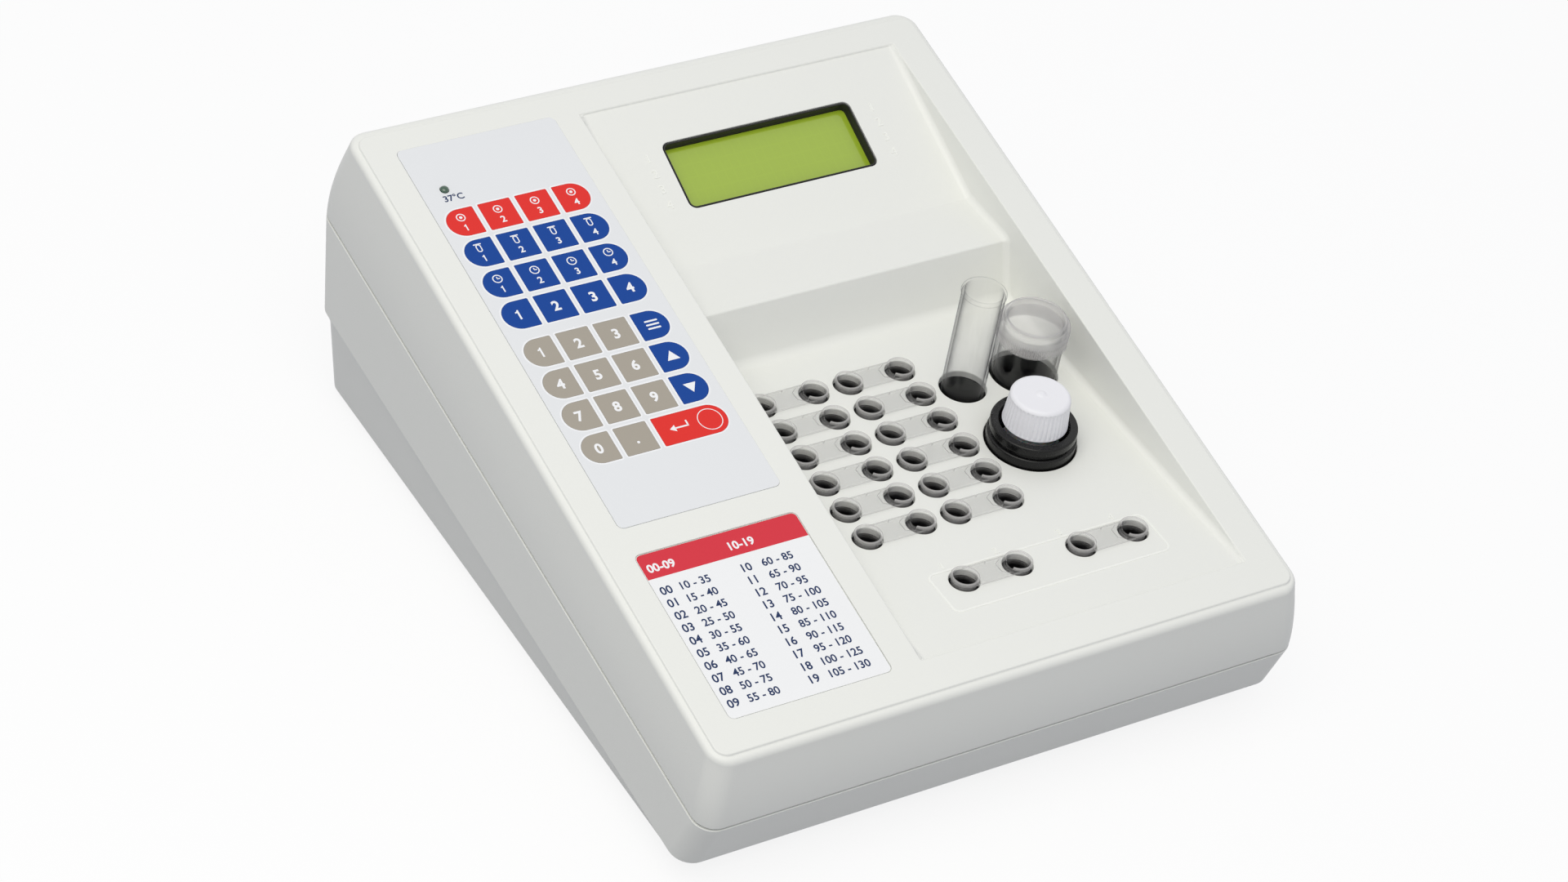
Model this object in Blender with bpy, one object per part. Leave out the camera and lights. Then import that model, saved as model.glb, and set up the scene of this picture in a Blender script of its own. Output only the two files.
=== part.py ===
"""Four-channel coagulation analyzer with its cuvettes, tube, vial and bottle in place.

A sloping two-part housing carries a keypad on the left, a card below it, and a long recess on
the right with a display panel at the back. The recess floor has wells for double cuvettes, a
sample tube, a stirring vial and a reagent bottle, which stand in one heated block inside.

Lengths are metres. The body frame has x to the right from the middle of the housing, y to the
back from the front edge of the deck and z up from that edge. The deck, the display panel and
the rear wall have frames of their own, with z along the outward normal.
"""

import bmesh
import bpy
from math import atan2, cos, pi, radians, sin, tan
from mathutils import Matrix, Vector

# Housing outline: outsets from the edge of the deck at the sides, the front and the back

DECK_TILT = radians(10.53)
DECK_CORNER = 0.0045
DECK_STEP = 0.0009
DECK_EDGE = 0.0003
LEDGE = 0.0006
SHOULDER_DROP = 0.0033
SHOULDER_SIDE = 0.0025
SHOULDER_FRONT = 0.0026
SHOULDER_BACK = 0.0044
WALL_CORNER = 0.0077
LIP_DEPTH = 0.0270
LIP_TILT = radians(8.48)
LIP_SIDE = 0.0049
LIP_FRONT = 0.0053
LIP_BACK = 0.0109
LIP_ROUND = 0.0006
PARTING_GAP = 0.0003
RIM_INSET = 0.0004
BAND_DEPTH = 0.0497
BAND_TILT = radians(5.68)
BAND_SIDE = 0.0058
BAND_FRONT = -0.00165
BAND_BACK = 0.0038
PLINTH_DEPTH = 0.0501
PLINTH_TILT = radians(4.94)
PLINTH_SIDE = 0.0039
PLINTH_FRONT = -0.0030
PLINTH_BACK = 0.0020
PLINTH_CORNER = 0.0070
BODY_HEIGHT = 0.0586
FOOT_SIDE = 0.0002
FOOT_FRONT = -0.0086
FOOT_BACK = 0.0002
FOOT_CORNER = 0.0065
FOOT_ROUND = 0.0016

# Walls, joint between the two shells, and what stands on the floor

WALL = 0.0026
TOP_WALL = 0.0028
FLOOR_WALL = 0.0030
TONGUE_HEIGHT = 0.0030
TONGUE_GAP = 0.0004
TONGUE_WALL = 0.0013
PAD_HEIGHT = 0.0020
PAD_RADIUS = 0.0065
PAD_INSET = 0.0205
PAD_FRONT = 0.0300
PAD_BACK_INSET = 0.0220
SEAT_GAP = 0.0003
OVERRUN = 0.0020
JOIN = 0.0008
BOSS_INSET = 0.0060
BOSS_FRONT = 0.0160
BOSS_BACK_INSET = 0.0130
BOSS_SPLIT_FRONT = -0.0300
BOSS_SPLIT_BACK = 0.0050
BASE_BOSS_RADIUS = 0.0046
COVER_BOSS_RADIUS = 0.0036
COUNTERBORE_RADIUS = 0.0032
SCREW_HOLE_RADIUS = 0.0017
PILOT_RADIUS = 0.0012
PILOT_DEPTH = 0.0100
BOSS_WEB = 0.0030

# Recess in the deck: a floor, a drop wall, a shelf and the display panel behind it

RECESS_FRONT = 0.0124
FLOOR_LEVEL = 0.0012
DROP_RISE = 0.02085
DROP_RUN = 0.0071
SHELF_RUN = 0.0251
PANEL_RISE = 0.0246
PANEL_RUN = 0.0616
MIDDLE_STRIP = 0.0101
RIGHT_STRIP = 0.0128
BACK_STRIP = 0.0107
RECESS_WALL = 0.0025
SIDE_FILLET = 0.0025
FOOT_FILLET = 0.0045
EDGE_FILLET = 0.0010
SHELF_FILLET = 0.0030
CREASE_FILLET = 0.0004

# Keypad, along and across the deck

KEYPAD_INSET = 0.0113
KEYPAD_START = 0.0913
KEYPAD_TOP_MARGIN = 0.0298
KEY_LEFT_MARGIN = 0.0023
KEY_RIGHT_MARGIN = 0.0035
KEYPAD_CORNER = 0.0020
KEYPAD_POCKET = 0.0017
KEYPAD_BACK = -0.0014
KEYPAD_FACE = 0.00035
KEYPAD_FLOOR = -0.0008
KEY_PITCH = 0.0143
KEY_WIDTH = 0.0122
KEY_DEPTH = 0.0120
KEY_TOP = 0.0005
KEY_BOTTOM = -0.0003
KEY_LAST_ROW = 0.0320
KEY_GROUP_GAP = 0.0028
KEY_CORNER = 0.0003
KEY_GAP = 0.0003
LAMP_SHIFT = 0.0003
LAMP_RISE = 0.0154
LAMP_HOLE_RADIUS = 0.0017

# Card below the keypad

CARD_INSET = 0.0106
CARD_WIDTH = 0.0606
CARD_START = 0.0120
CARD_LENGTH = 0.0677
CARD_CORNER = 0.0020
CARD_POCKET = 0.0008
CARD_THICKNESS = 0.0005

# Display, measured down the panel from its upper edge

SCREEN_SHIFT = 0.00155
SCREEN_DOWN = 0.03115
SCREEN_WIDTH = 0.0758
SCREEN_HEIGHT = 0.0257
SCREEN_CORNER = 0.0020
SCREEN_DEPTH = 0.0040
LINING_WALL = 0.0006
LINING_TOP = 0.0003
BEZEL_WIDTH = 0.0970
BEZEL_HEIGHT = 0.0400
BEZEL_TOP = 0.0028
DISPLAY_BOARD_TOP = 0.0090
DISPLAY_BOARD_WIDTH = 0.0980
DISPLAY_BOARD_HEIGHT = 0.0600
BOARD_THICKNESS = 0.0016
DISPLAY_BOSS_RADIUS = 0.0025

# Wells and the heated block

WELL_RADIUS = 0.0054
CUP_PITCH = 0.0212
WELL_INSET = 0.0145
WELL_COLUMN_PITCH = 0.0351
WELL_ROW_PITCH = 0.01418
WELL_ROWS = 6
OPTIC_FRONT = 0.0281
OPTIC_SPACING = 0.0295
OPTIC_INSET = 0.0344
OPTIC_PITCH = 0.0469
DROP_SPACING = 0.0216
TUBE_SPACING = 0.0169
TUBE_BACK = 0.0152
TUBE_HOLE_RADIUS = 0.0085
VIAL_SPACING = 0.0249
VIAL_BACK = 0.0159
VIAL_INSET = 0.0173
VIAL_HOLE_RADIUS = 0.0123
BOTTLE_SHIFT = 0.0071
BOTTLE_SPACING = 0.0327
BOTTLE_HOLE_RADIUS = 0.0163
BLOCK_SIDE_MARGIN = 0.0108
BLOCK_RIGHT_MARGIN = 0.0141
BLOCK_FRONT_MARGIN = 0.0105
BLOCK_BACK_MARGIN = 0.0091
BLOCK_BOTTOM = -0.0360
BLOCK_POST_RADIUS = 0.0045
BLOCK_POST_INSET = 0.0060
CUP_BORE_RADIUS = 0.0050
TUBE_BORE_RADIUS = 0.0083
VIAL_BORE_RADIUS = 0.0121
ADAPTER_BORE_RADIUS = 0.0161
LIGHT_BORE_RADIUS = 0.0015
LIGHT_BORE_DEPTH = 0.0170
LIGHT_BORE_HEIGHT = 0.0053

# Double cuvette: heights above the recess floor, depths below it

CUP_RIM_HEIGHT = 0.0022
CUP_WEB_BOTTOM = 0.0003
CUP_WEB_TOP = 0.0014
CUP_WEB_HALF = 0.0045
CUP_RIM_RADIUS = 0.00495
CUP_TOP_RADIUS = 0.0045
CUP_BOTTOM_RADIUS = 0.0042
CUP_DEPTH = 0.0232
CUP_WALL = 0.0006
CUP_FLOOR = 0.0008
CUP_NOTCH_WIDTH = 0.0050
CUP_TRAY_DEPTH = 0.0005
CUP_TRAY_NEAR = 0.0034
CUP_TRAY_FAR = 0.0078
CUP_TRAY_HALF = 0.0034
CUP_TRAY_NOSE = 0.0020

# Sample tube, vial and bottle: heights are in the body frame

TUBE_RADIUS = 0.0077
TUBE_RIM_RADIUS = 0.0081
TUBE_RIM_HEIGHT = 0.0016
TUBE_TOP = 0.0442
TUBE_LENGTH = 0.0750
TUBE_WALL = 0.0009
VIAL_RADIUS = 0.0116
VIAL_TOP = 0.0220
VIAL_LENGTH = 0.0435
VIAL_WALL = 0.0011
VIAL_CHAMFER = 0.0012
LID_RADIUS = 0.0127
LID_CLEARANCE = 0.0004
LID_SKIRT = 0.0053
LID_TOP = 0.0042
LID_SHOULDER = 0.0015
LID_RING_RADIUS = 0.0110
LID_RING_WIDTH = 0.0008
LID_DISH = 0.0020
ADAPTER_BOTTOM = -0.0315
ADAPTER_SLEEVE_RADIUS = 0.0156
ADAPTER_RING_RADIUS = 0.0158
ADAPTER_RING_BOTTOM = 0.0006
ADAPTER_RING_TOP = 0.0046
ADAPTER_GROOVE_RADIUS = 0.0146
ADAPTER_RIM_RADIUS = 0.0153
ADAPTER_RIM_BOTTOM = 0.0062
ADAPTER_TOP = 0.0095
ADAPTER_CHAMFER = 0.0006
ADAPTER_FLOOR = 0.0020
BOTTLE_RADIUS = 0.0116
BOTTLE_CLEARANCE = 0.0004
BOTTLE_SHOULDER = 0.0010
BOTTLE_NECK_START = 0.0065
BOTTLE_NECK_RADIUS = 0.0080
BOTTLE_TOP = 0.0205
BOTTLE_WALL = 0.0012
CAP_BOTTOM = 0.0117
CAP_TOP = 0.0220
CAP_BOTTOM_RADIUS = 0.0115
CAP_TOP_RADIUS = 0.0107
CAP_EDGE = 0.0009
CAP_RIB_DEPTH = 0.0003
CAP_NUB_RADIUS = 0.0018
CAP_NUB_HEIGHT = 0.0005
CAP_THREAD_GAP = 0.0004
CAP_RIBS = 20

# Main board with the data socket on its back edge

BOARD_LEFT_INSET = 0.0102
BOARD_RIGHT_INSET = 0.0047
BOARD_FRONT_GAP = 0.0095
BOARD_BACK_GAP = 0.0070
BOARD_UNDER_GAP = 0.0053
BOARD_POST_RADIUS = 0.0030
BOARD_POST_INSET = 0.0050
SOCKET_INSET = 0.0350
SOCKET_WIDTH = 0.0169
SOCKET_HEIGHT = 0.0083
SOCKET_TAPER = 0.0008
SOCKET_BODY_WIDTH = 0.0308
SOCKET_BODY_HEIGHT = 0.0125
SOCKET_BODY_DEPTH = 0.0110
SOCKET_REACH = 0.0012
SOCKET_CLEARANCE = 0.0005
SOCKET_WELL = 0.0040
SUPPLY_LENGTH = 0.0600
SUPPLY_WIDTH = 0.0360
SUPPLY_HEIGHT = 0.0240
SUPPLY_INSET = 0.0080
CHIP_SIDE = 0.0200
CHIP_HEIGHT = 0.0025
CAPACITOR_RADIUS = 0.0050
CAPACITOR_HEIGHT = 0.0160
HEADER_LENGTH = 0.0300
HEADER_WIDTH = 0.0060
HEADER_HEIGHT = 0.0085
COMPONENT_GAP = 0.0060

# Mains inlet with its rocker switch, centred on the rear band

INLET_INSET = 0.0425
INLET_DROP = 0.0040
INLET_FLANGE_LIP = 0.0016
INLET_FLANGE = 0.0012
INLET_CORNER = 0.0030
INLET_BODY_WIDTH = 0.0468
INLET_BODY_HEIGHT = 0.0268
INLET_BODY_DEPTH = 0.0240
INLET_CLEARANCE = 0.0004
INLET_PLUG_MARGIN = 0.00195
INLET_ROCKER_MARGIN = 0.00205
INLET_WEB = 0.0048
PLUG_WIDTH = 0.0245
PLUG_HEIGHT = 0.0165
PLUG_CORNER = 0.0045
PLUG_DEPTH = 0.0160
PIN_WIDTH = 0.0040
PIN_THICKNESS = 0.0020
PIN_LENGTH = 0.0125
PIN_SPREAD = 0.0070
PIN_DROP = 0.0020
ROCKER_WINDOW_MARGIN = 0.0024
ROCKER_WINDOW_DEPTH = 0.0110
ROCKER_GAP = 0.0003
ROCKER_END_GAP = 0.0007
ROCKER_RISE = 0.0014
ROCKER_DISH = 0.0012
ROCKER_PIVOT = 0.0030
ROCKER_FOOT = 0.0050
ROCKER_TILT = radians(8)

# Shares

TUBE_FLAT_SHARE = 0.2

# Numbers of facets

CORNER_STEPS = 5
SHOULDER_STEPS = 3
WALL_STEPS = 3
FILLET_STEPS = 3
WELL_SIDES = 12
CUP_SIDES = 10
VESSEL_SIDES = 18
POST_SIDES = 10
LIGHT_SIDES = 6
ROUND_STEPS = 5

# Across the deck: keypad, wells and vessels stand beside each other and make up its width

KEYPAD_WIDTH = KEY_LEFT_MARGIN + 3 * KEY_PITCH + KEY_WIDTH + KEY_RIGHT_MARGIN
VESSELS_WIDTH = TUBE_SPACING + VIAL_SPACING + VIAL_INSET
RECESS_WIDTH = WELL_INSET + WELL_COLUMN_PITCH + CUP_PITCH + VESSELS_WIDTH
DECK_WIDTH = KEYPAD_INSET + KEYPAD_WIDTH + MIDDLE_STRIP + RECESS_WIDTH + RIGHT_STRIP
KEYPAD_LEFT = KEYPAD_INSET - DECK_WIDTH / 2
KEYPAD_RIGHT = KEYPAD_LEFT + KEYPAD_WIDTH
KEY_FIRST_X = KEYPAD_LEFT + KEY_LEFT_MARGIN + KEY_WIDTH / 2
LAMP_X = KEY_FIRST_X + LAMP_SHIFT
CARD_LEFT = CARD_INSET - DECK_WIDTH / 2
CARD_RIGHT = CARD_LEFT + CARD_WIDTH
RECESS_LEFT = KEYPAD_RIGHT + MIDDLE_STRIP
RECESS_RIGHT = RECESS_LEFT + RECESS_WIDTH
SCREEN_X = (RECESS_LEFT + RECESS_RIGHT) / 2 - SCREEN_SHIFT
WELL_LEFT_X = RECESS_LEFT + WELL_INSET
WELL_RIGHT_X = WELL_LEFT_X + WELL_COLUMN_PITCH
OPTIC_LEFT_X = RECESS_LEFT + OPTIC_INSET
OPTIC_RIGHT_X = OPTIC_LEFT_X + OPTIC_PITCH
TUBE_X = WELL_RIGHT_X + CUP_PITCH + TUBE_SPACING
VIAL_X = TUBE_X + VIAL_SPACING
BOTTLE_X = TUBE_X + BOTTLE_SHIFT
BLOCK_LEFT = WELL_LEFT_X - BLOCK_SIDE_MARGIN
BLOCK_RIGHT = VIAL_X + BLOCK_RIGHT_MARGIN
BOARD_LEFT = RECESS_LEFT + BOARD_LEFT_INSET
BOARD_RIGHT = RECESS_RIGHT - BOARD_RIGHT_INSET
SOCKET_X = BOARD_RIGHT - SOCKET_INSET
INLET_X = INLET_INSET - DECK_WIDTH / 2
INLET_FLANGE_WIDTH = INLET_BODY_WIDTH + 2 * INLET_FLANGE_LIP
INLET_FLANGE_HEIGHT = INLET_BODY_HEIGHT + 2 * INLET_FLANGE_LIP
PLUG_OFFSET = (INLET_BODY_WIDTH - PLUG_WIDTH) / 2 - INLET_PLUG_MARGIN
ROCKER_WINDOW_WIDTH = INLET_BODY_WIDTH - PLUG_WIDTH - INLET_PLUG_MARGIN - INLET_WEB - INLET_ROCKER_MARGIN
ROCKER_OFFSET = (INLET_BODY_WIDTH - ROCKER_WINDOW_WIDTH) / 2 - INLET_ROCKER_MARGIN
ROCKER_WIDTH = ROCKER_WINDOW_WIDTH - 2 * ROCKER_GAP
ROCKER_WINDOW_HEIGHT = INLET_BODY_HEIGHT - 2 * ROCKER_WINDOW_MARGIN
ROCKER_LENGTH = ROCKER_WINDOW_HEIGHT - 2 * ROCKER_END_GAP
PAD_SIDE = DECK_WIDTH / 2 - PAD_INSET
BOSS_SIDE = DECK_WIDTH / 2 - BOSS_INSET

# Along the deck: wells, drop wall, shelf and panel follow each other and make up its run

OPTIC_Y = RECESS_FRONT + OPTIC_FRONT
WELL_FIRST_Y = OPTIC_Y + OPTIC_SPACING
WELL_LAST_Y = WELL_FIRST_Y + (WELL_ROWS - 1) * WELL_ROW_PITCH
TUBE_Y = WELL_LAST_Y - TUBE_BACK
VIAL_Y = WELL_LAST_Y - VIAL_BACK
BOTTLE_Y = TUBE_Y - BOTTLE_SPACING
DROP_FOOT = WELL_LAST_Y + DROP_SPACING
DROP_EDGE = DROP_FOOT + DROP_RUN
SHELF_BACK = DROP_EDGE + SHELF_RUN
RECESS_BACK = SHELF_BACK + PANEL_RUN
DECK_RUN = RECESS_BACK + BACK_STRIP
BLOCK_FRONT = OPTIC_Y - BLOCK_FRONT_MARGIN
BLOCK_BACK = WELL_LAST_Y + BLOCK_BACK_MARGIN
BOARD_FRONT = DROP_FOOT + BOARD_FRONT_GAP
BOARD_BACK = DECK_RUN - BOARD_BACK_GAP
PAD_BACK = DECK_RUN - PAD_BACK_INSET
BOSS_BACK = DECK_RUN - BOSS_BACK_INSET
CARD_END = CARD_START + CARD_LENGTH
KEY_LOWER_ROW = KEYPAD_START + KEY_LAST_ROW + 3 * KEY_PITCH
KEY_TOP_ROW = KEY_LOWER_ROW + 4 * KEY_PITCH + KEY_GROUP_GAP
LAMP_S = KEY_TOP_ROW + LAMP_RISE
KEYPAD_END = KEY_TOP_ROW + KEY_DEPTH / 2 + KEYPAD_TOP_MARGIN

# Frames

DECK_SLOPE = tan(DECK_TILT)
FLOOR_TOP = FLOOR_WALL - BODY_HEIGHT
SHELF_LEVEL = FLOOR_LEVEL + DROP_RISE
PANEL_TOP = SHELF_LEVEL + PANEL_RISE
PANEL_TILT = atan2(PANEL_RISE, PANEL_RUN)
LIP_REAR_Y = DECK_RUN + LIP_BACK
LIP_REAR_Z = LIP_REAR_Y * tan(LIP_TILT) - LIP_DEPTH
BAND_REAR_Y = DECK_RUN + BAND_BACK
BAND_REAR_Z = BAND_REAR_Y * tan(BAND_TILT) - BAND_DEPTH
REAR_LEAN = atan2(LIP_REAR_Y - BAND_REAR_Y, LIP_REAR_Z - BAND_REAR_Z)
MIDDLE_Y = (DECK_RUN + LIP_BACK - LIP_FRONT) / 2

BODY = Matrix.Translation((0, -MIDDLE_Y, BODY_HEIGHT + PAD_HEIGHT))
LEVEL = Matrix.Identity(4)
DECK = Matrix.Rotation(DECK_TILT, 4, "X")
PANEL = Matrix.Translation((0, RECESS_BACK, PANEL_TOP)) @ Matrix.Rotation(PANEL_TILT, 4, "X")
REAR = (
    Matrix.Translation((0, (LIP_REAR_Y + BAND_REAR_Y) / 2, (LIP_REAR_Z + BAND_REAR_Z) / 2))
    @ Matrix.Rotation(pi, 4, "Z")
    @ Matrix.Rotation(pi / 2 + REAR_LEAN, 4, "X")
)


# Building blocks


def loft(rings, closed=False):
    """Skin rings of equally many points; the ends get flat caps unless the rings close up."""
    bm = bmesh.new()
    loops = [[bm.verts.new(point) for point in ring] for ring in rings]
    pairs = list(zip(loops, loops[1:]))
    if closed:
        pairs.append((loops[-1], loops[0]))
    else:
        bm.faces.new(loops[0])
        bm.faces.new(loops[-1])
    for near, far in pairs:
        count = len(near)
        for i in range(count):
            j = (i + 1) % count
            bm.faces.new((near[i], near[j], far[j], far[i]))
    bmesh.ops.recalc_face_normals(bm, faces=bm.faces)
    if bm.calc_volume(signed=True) < 0:
        bmesh.ops.reverse_faces(bm, faces=bm.faces)
    mesh = bpy.data.meshes.new("shape")
    bm.to_mesh(mesh)
    bm.free()
    return mesh


def prism(outline, low, high):
    """A flat outline drawn from one height to another."""
    return loft([[(x, y, z) for x, y in outline] for z in (low, high)])


def turned(profile, sides, centre=(0, 0), closed=False):
    """Turn (radius, height) pairs around the vertical line through a centre."""
    angles = [2 * pi * (i + 0.5) / sides for i in range(sides)]
    rings = [
        [(centre[0] + r * cos(a), centre[1] + r * sin(a), z) for a in angles] for r, z in profile
    ]
    return loft(rings, closed)


def rounded_box(left, right, front, back, radius, steps=CORNER_STEPS):
    """The corner points of a rectangle with round corners, counterclockwise from the back right."""
    corners = (
        (right - radius, back - radius, 0),
        (left + radius, back - radius, 1),
        (left + radius, front + radius, 2),
        (right - radius, front + radius, 3),
    )
    turns = [(x, y, (quarter + i / steps) * pi / 2) for x, y, quarter in corners for i in range(steps + 1)]
    return [(x + radius * cos(a), y + radius * sin(a)) for x, y, a in turns]


def centred_box(x, y, width, height, radius, steps=CORNER_STEPS):
    return rounded_box(x - width / 2, x + width / 2, y - height / 2, y + height / 2, radius, steps)


def block(left, right, front, back, low, high):
    outline = [(left, front), (right, front), (right, back), (left, back)]
    return prism(outline, low, high)


def moved(mesh, frame):
    mesh.transform(frame)
    return mesh


def shifted(mesh, x, y, z=0):
    return moved(mesh, Matrix.Translation((x, y, z)))


def gathered(meshes):
    """One mesh that holds several which don't touch."""
    bm = bmesh.new()
    for mesh in meshes:
        bm.from_mesh(mesh)
    whole = bpy.data.meshes.new("shape")
    bm.to_mesh(whole)
    bm.free()
    return whole


def combined(mesh, others, operation):
    """Boolean a mesh with each of the others in turn."""
    for other in others:
        target = bpy.data.objects.new("target", mesh)
        tool = bpy.data.objects.new("tool", other)
        for thing in (target, tool):
            bpy.context.scene.collection.objects.link(thing)
        modifier = target.modifiers.new("combine", "BOOLEAN")
        modifier.operation = operation
        modifier.solver = "EXACT"
        modifier.object = tool
        bpy.context.view_layer.update()
        graph = bpy.context.evaluated_depsgraph_get()
        mesh = bpy.data.meshes.new_from_object(target.evaluated_get(graph))
        for thing in (target, tool):
            bpy.data.objects.remove(thing)
    return mesh


def cut(mesh, *cutters):
    return combined(mesh, cutters, "DIFFERENCE")


def fused(mesh, *others):
    return combined(mesh, others, "UNION")


def linear(code):
    """An sRGB hex colour as the linear values that Blender keeps."""
    parts = [int(code[i : i + 2], 16) / 255 for i in (1, 3, 5)]
    return [c / 12.92 if c <= 0.04045 else ((c + 0.055) / 1.055) ** 2.4 for c in parts] + [1.0]


def material(name, colour, roughness, metallic=0.0, transmission=0.0):
    found = bpy.data.materials.get(name)
    if found:
        return found
    made = bpy.data.materials.new(name)
    made.use_nodes = True
    shader = made.node_tree.nodes["Principled BSDF"]
    shader.inputs["Base Color"].default_value = linear(colour)
    shader.inputs["Roughness"].default_value = roughness
    shader.inputs["Metallic"].default_value = metallic
    shader.inputs["Transmission Weight"].default_value = transmission
    return made


def place(name, mesh, frame, look):
    """Put a mesh into the scene as a named object whose origin is its frame's."""
    mesh.name = name
    mesh.materials.clear()
    mesh.materials.append(look)
    thing = bpy.data.objects.new(name, mesh)
    thing.matrix_world = BODY @ frame
    bpy.context.scene.collection.objects.link(thing)
    mesh.shade_smooth()
    mesh.set_sharp_from_angle(angle=radians(30))
    return thing


# Looks


def housing_plastic():
    return material("housing_plastic", "#ECEDE8", 0.42)


def clear_plastic():
    return material("clear_plastic", "#F4F6F8", 0.08, transmission=0.9)


def black_plastic():
    return material("black_plastic", "#161618", 0.45)


def keypad_film():
    return material("keypad_film", "#E6E9EE", 0.5)


def key_look(kind):
    colours = {"red": "#E0302A", "blue": "#0B3F94", "grey": "#AAA294"}
    return material("key_" + kind, colours[kind], 0.45)


# Housing rings


def mix(a, b, share):
    return a + (b - a) * share


def plan_ring(outsets, radius, depth, slope):
    """A rounded rectangle around the deck, on a plane at a depth under its front edge."""
    side, front, back = outsets
    half = DECK_WIDTH / 2 + side
    outline = rounded_box(-half, half, -front, DECK_RUN + back, radius)
    return [(x, y, slope * y - depth) for x, y in outline]


def shrunk(outsets, wall):
    return [outset - wall for outset in outsets]


def wall_outsets(share):
    """The cover's wall leans out as a quarter sine from its shoulder to its lip."""
    tops = (SHOULDER_SIDE, SHOULDER_FRONT, SHOULDER_BACK)
    lips = (LIP_SIDE, LIP_FRONT, LIP_BACK)
    bulge = sin(share * pi / 2)
    return [mix(top, lip, bulge) for top, lip in zip(tops, lips)]


def wall_plane(share):
    depth = mix(SHOULDER_DROP, LIP_DEPTH, share)
    return depth, mix(DECK_SLOPE, tan(LIP_TILT), share)


def deck_rings():
    """The raised deck, its step and the round shoulder."""
    tops = (SHOULDER_SIDE, SHOULDER_FRONT, SHOULDER_BACK)
    rings = [
        plan_ring([-DECK_EDGE] * 3, DECK_CORNER - DECK_EDGE, 0, DECK_SLOPE),
        plan_ring([0] * 3, DECK_CORNER, DECK_EDGE, DECK_SLOPE),
        plan_ring([0] * 3, DECK_CORNER, DECK_STEP, DECK_SLOPE),
        plan_ring([LEDGE] * 3, DECK_CORNER + LEDGE, DECK_STEP, DECK_SLOPE),
    ]
    for i in range(1, SHOULDER_STEPS):
        angle = i / SHOULDER_STEPS * pi / 2
        outsets = [mix(LEDGE, top, sin(angle)) for top in tops]
        radius = mix(DECK_CORNER + LEDGE, WALL_CORNER, sin(angle))
        depth = mix(DECK_STEP, SHOULDER_DROP, 1 - cos(angle))
        rings.append(plan_ring(outsets, radius, depth, DECK_SLOPE))
    return rings


def cover_shell():
    """One skin down the outside, around the lip and up the inside."""
    rings = deck_rings()
    shares = [i / WALL_STEPS for i in range(WALL_STEPS)]
    for share in shares:
        rings.append(plan_ring(wall_outsets(share), WALL_CORNER, *wall_plane(share)))
    lip = wall_outsets(1)
    slope = tan(LIP_TILT)
    rings.append(plan_ring(lip, WALL_CORNER, LIP_DEPTH - LIP_ROUND, slope))
    rings.append(plan_ring(shrunk(lip, LIP_ROUND), WALL_CORNER - LIP_ROUND, LIP_DEPTH, slope))
    rings.append(plan_ring(shrunk(lip, WALL), WALL_CORNER - WALL, LIP_DEPTH, slope))
    for share in reversed(shares[1:]):
        inner = shrunk(wall_outsets(share), WALL)
        rings.append(plan_ring(inner, WALL_CORNER - WALL, *wall_plane(share)))
    top = shrunk(wall_outsets(0), WALL)
    rings.append(plan_ring(top, WALL_CORNER - WALL, TOP_WALL, DECK_SLOPE))
    return loft(rings)


def base_shell():
    """A tray: tongue and rim, raked band, ledge, plinth and a level floor."""
    lip = wall_outsets(1)
    slope = tan(LIP_TILT)
    rim = LIP_DEPTH + PARTING_GAP
    band = (BAND_SIDE, BAND_FRONT, BAND_BACK)
    plinth = (PLINTH_SIDE, PLINTH_FRONT, PLINTH_BACK)
    foot = (FOOT_SIDE, FOOT_FRONT, FOOT_BACK)
    tongue = WALL + TONGUE_GAP
    tongue_top = LIP_DEPTH - TONGUE_HEIGHT
    inner = tongue + TONGUE_WALL
    tans = (tan(BAND_TILT), tan(PLINTH_TILT))
    rings = [
        plan_ring(shrunk(foot, WALL), FOOT_CORNER - WALL, -FLOOR_TOP, 0),
        plan_ring(shrunk(plinth, WALL), PLINTH_CORNER - WALL, PLINTH_DEPTH, tans[1]),
        plan_ring(shrunk(band, WALL), WALL_CORNER - WALL, BAND_DEPTH, tans[0]),
        plan_ring(shrunk(lip, inner), WALL_CORNER - inner, rim + TONGUE_HEIGHT, slope),
        plan_ring(shrunk(lip, inner), WALL_CORNER - inner, tongue_top, slope),
        plan_ring(shrunk(lip, tongue), WALL_CORNER - tongue, tongue_top, slope),
        plan_ring(shrunk(lip, tongue), WALL_CORNER - tongue, rim, slope),
        plan_ring(shrunk(lip, RIM_INSET + LIP_ROUND), WALL_CORNER - LIP_ROUND, rim, slope),
        plan_ring(shrunk(lip, RIM_INSET), WALL_CORNER, rim + LIP_ROUND, slope),
        plan_ring(band, WALL_CORNER, BAND_DEPTH, tans[0]),
        plan_ring(plinth, PLINTH_CORNER, PLINTH_DEPTH, tans[1]),
        plan_ring(foot, FOOT_CORNER, BODY_HEIGHT - FOOT_ROUND, 0),
        plan_ring(shrunk(foot, FOOT_ROUND), FOOT_CORNER - FOOT_ROUND, BODY_HEIGHT, 0),
    ]
    return loft(rings)


# Recess


def offset_corners(corners, distance):
    """Move a chain of (y, z, radius) corners into the open side, keeping its fillets concentric."""
    points = [Vector(corner[:2]) for corner in corners]
    normals = []
    for a, b in zip(points, points[1:]):
        along = (b - a).normalized()
        normals.append(Vector((-along.y, along.x)))
    moved_corners = [(*(points[0] + normals[0] * distance), 0)]
    for i in range(1, len(points) - 1):
        before, after = normals[i - 1], normals[i]
        mitre = (before + after) / (1 + before.dot(after))
        turn = before.x * after.y - before.y * after.x
        radius = corners[i][2] - distance * (1 if turn > 0 else -1)
        moved_corners.append((*(points[i] + mitre * distance), max(radius, CREASE_FILLET)))
    moved_corners.append((*(points[-1] + normals[-1] * distance), 0))
    return moved_corners


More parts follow.
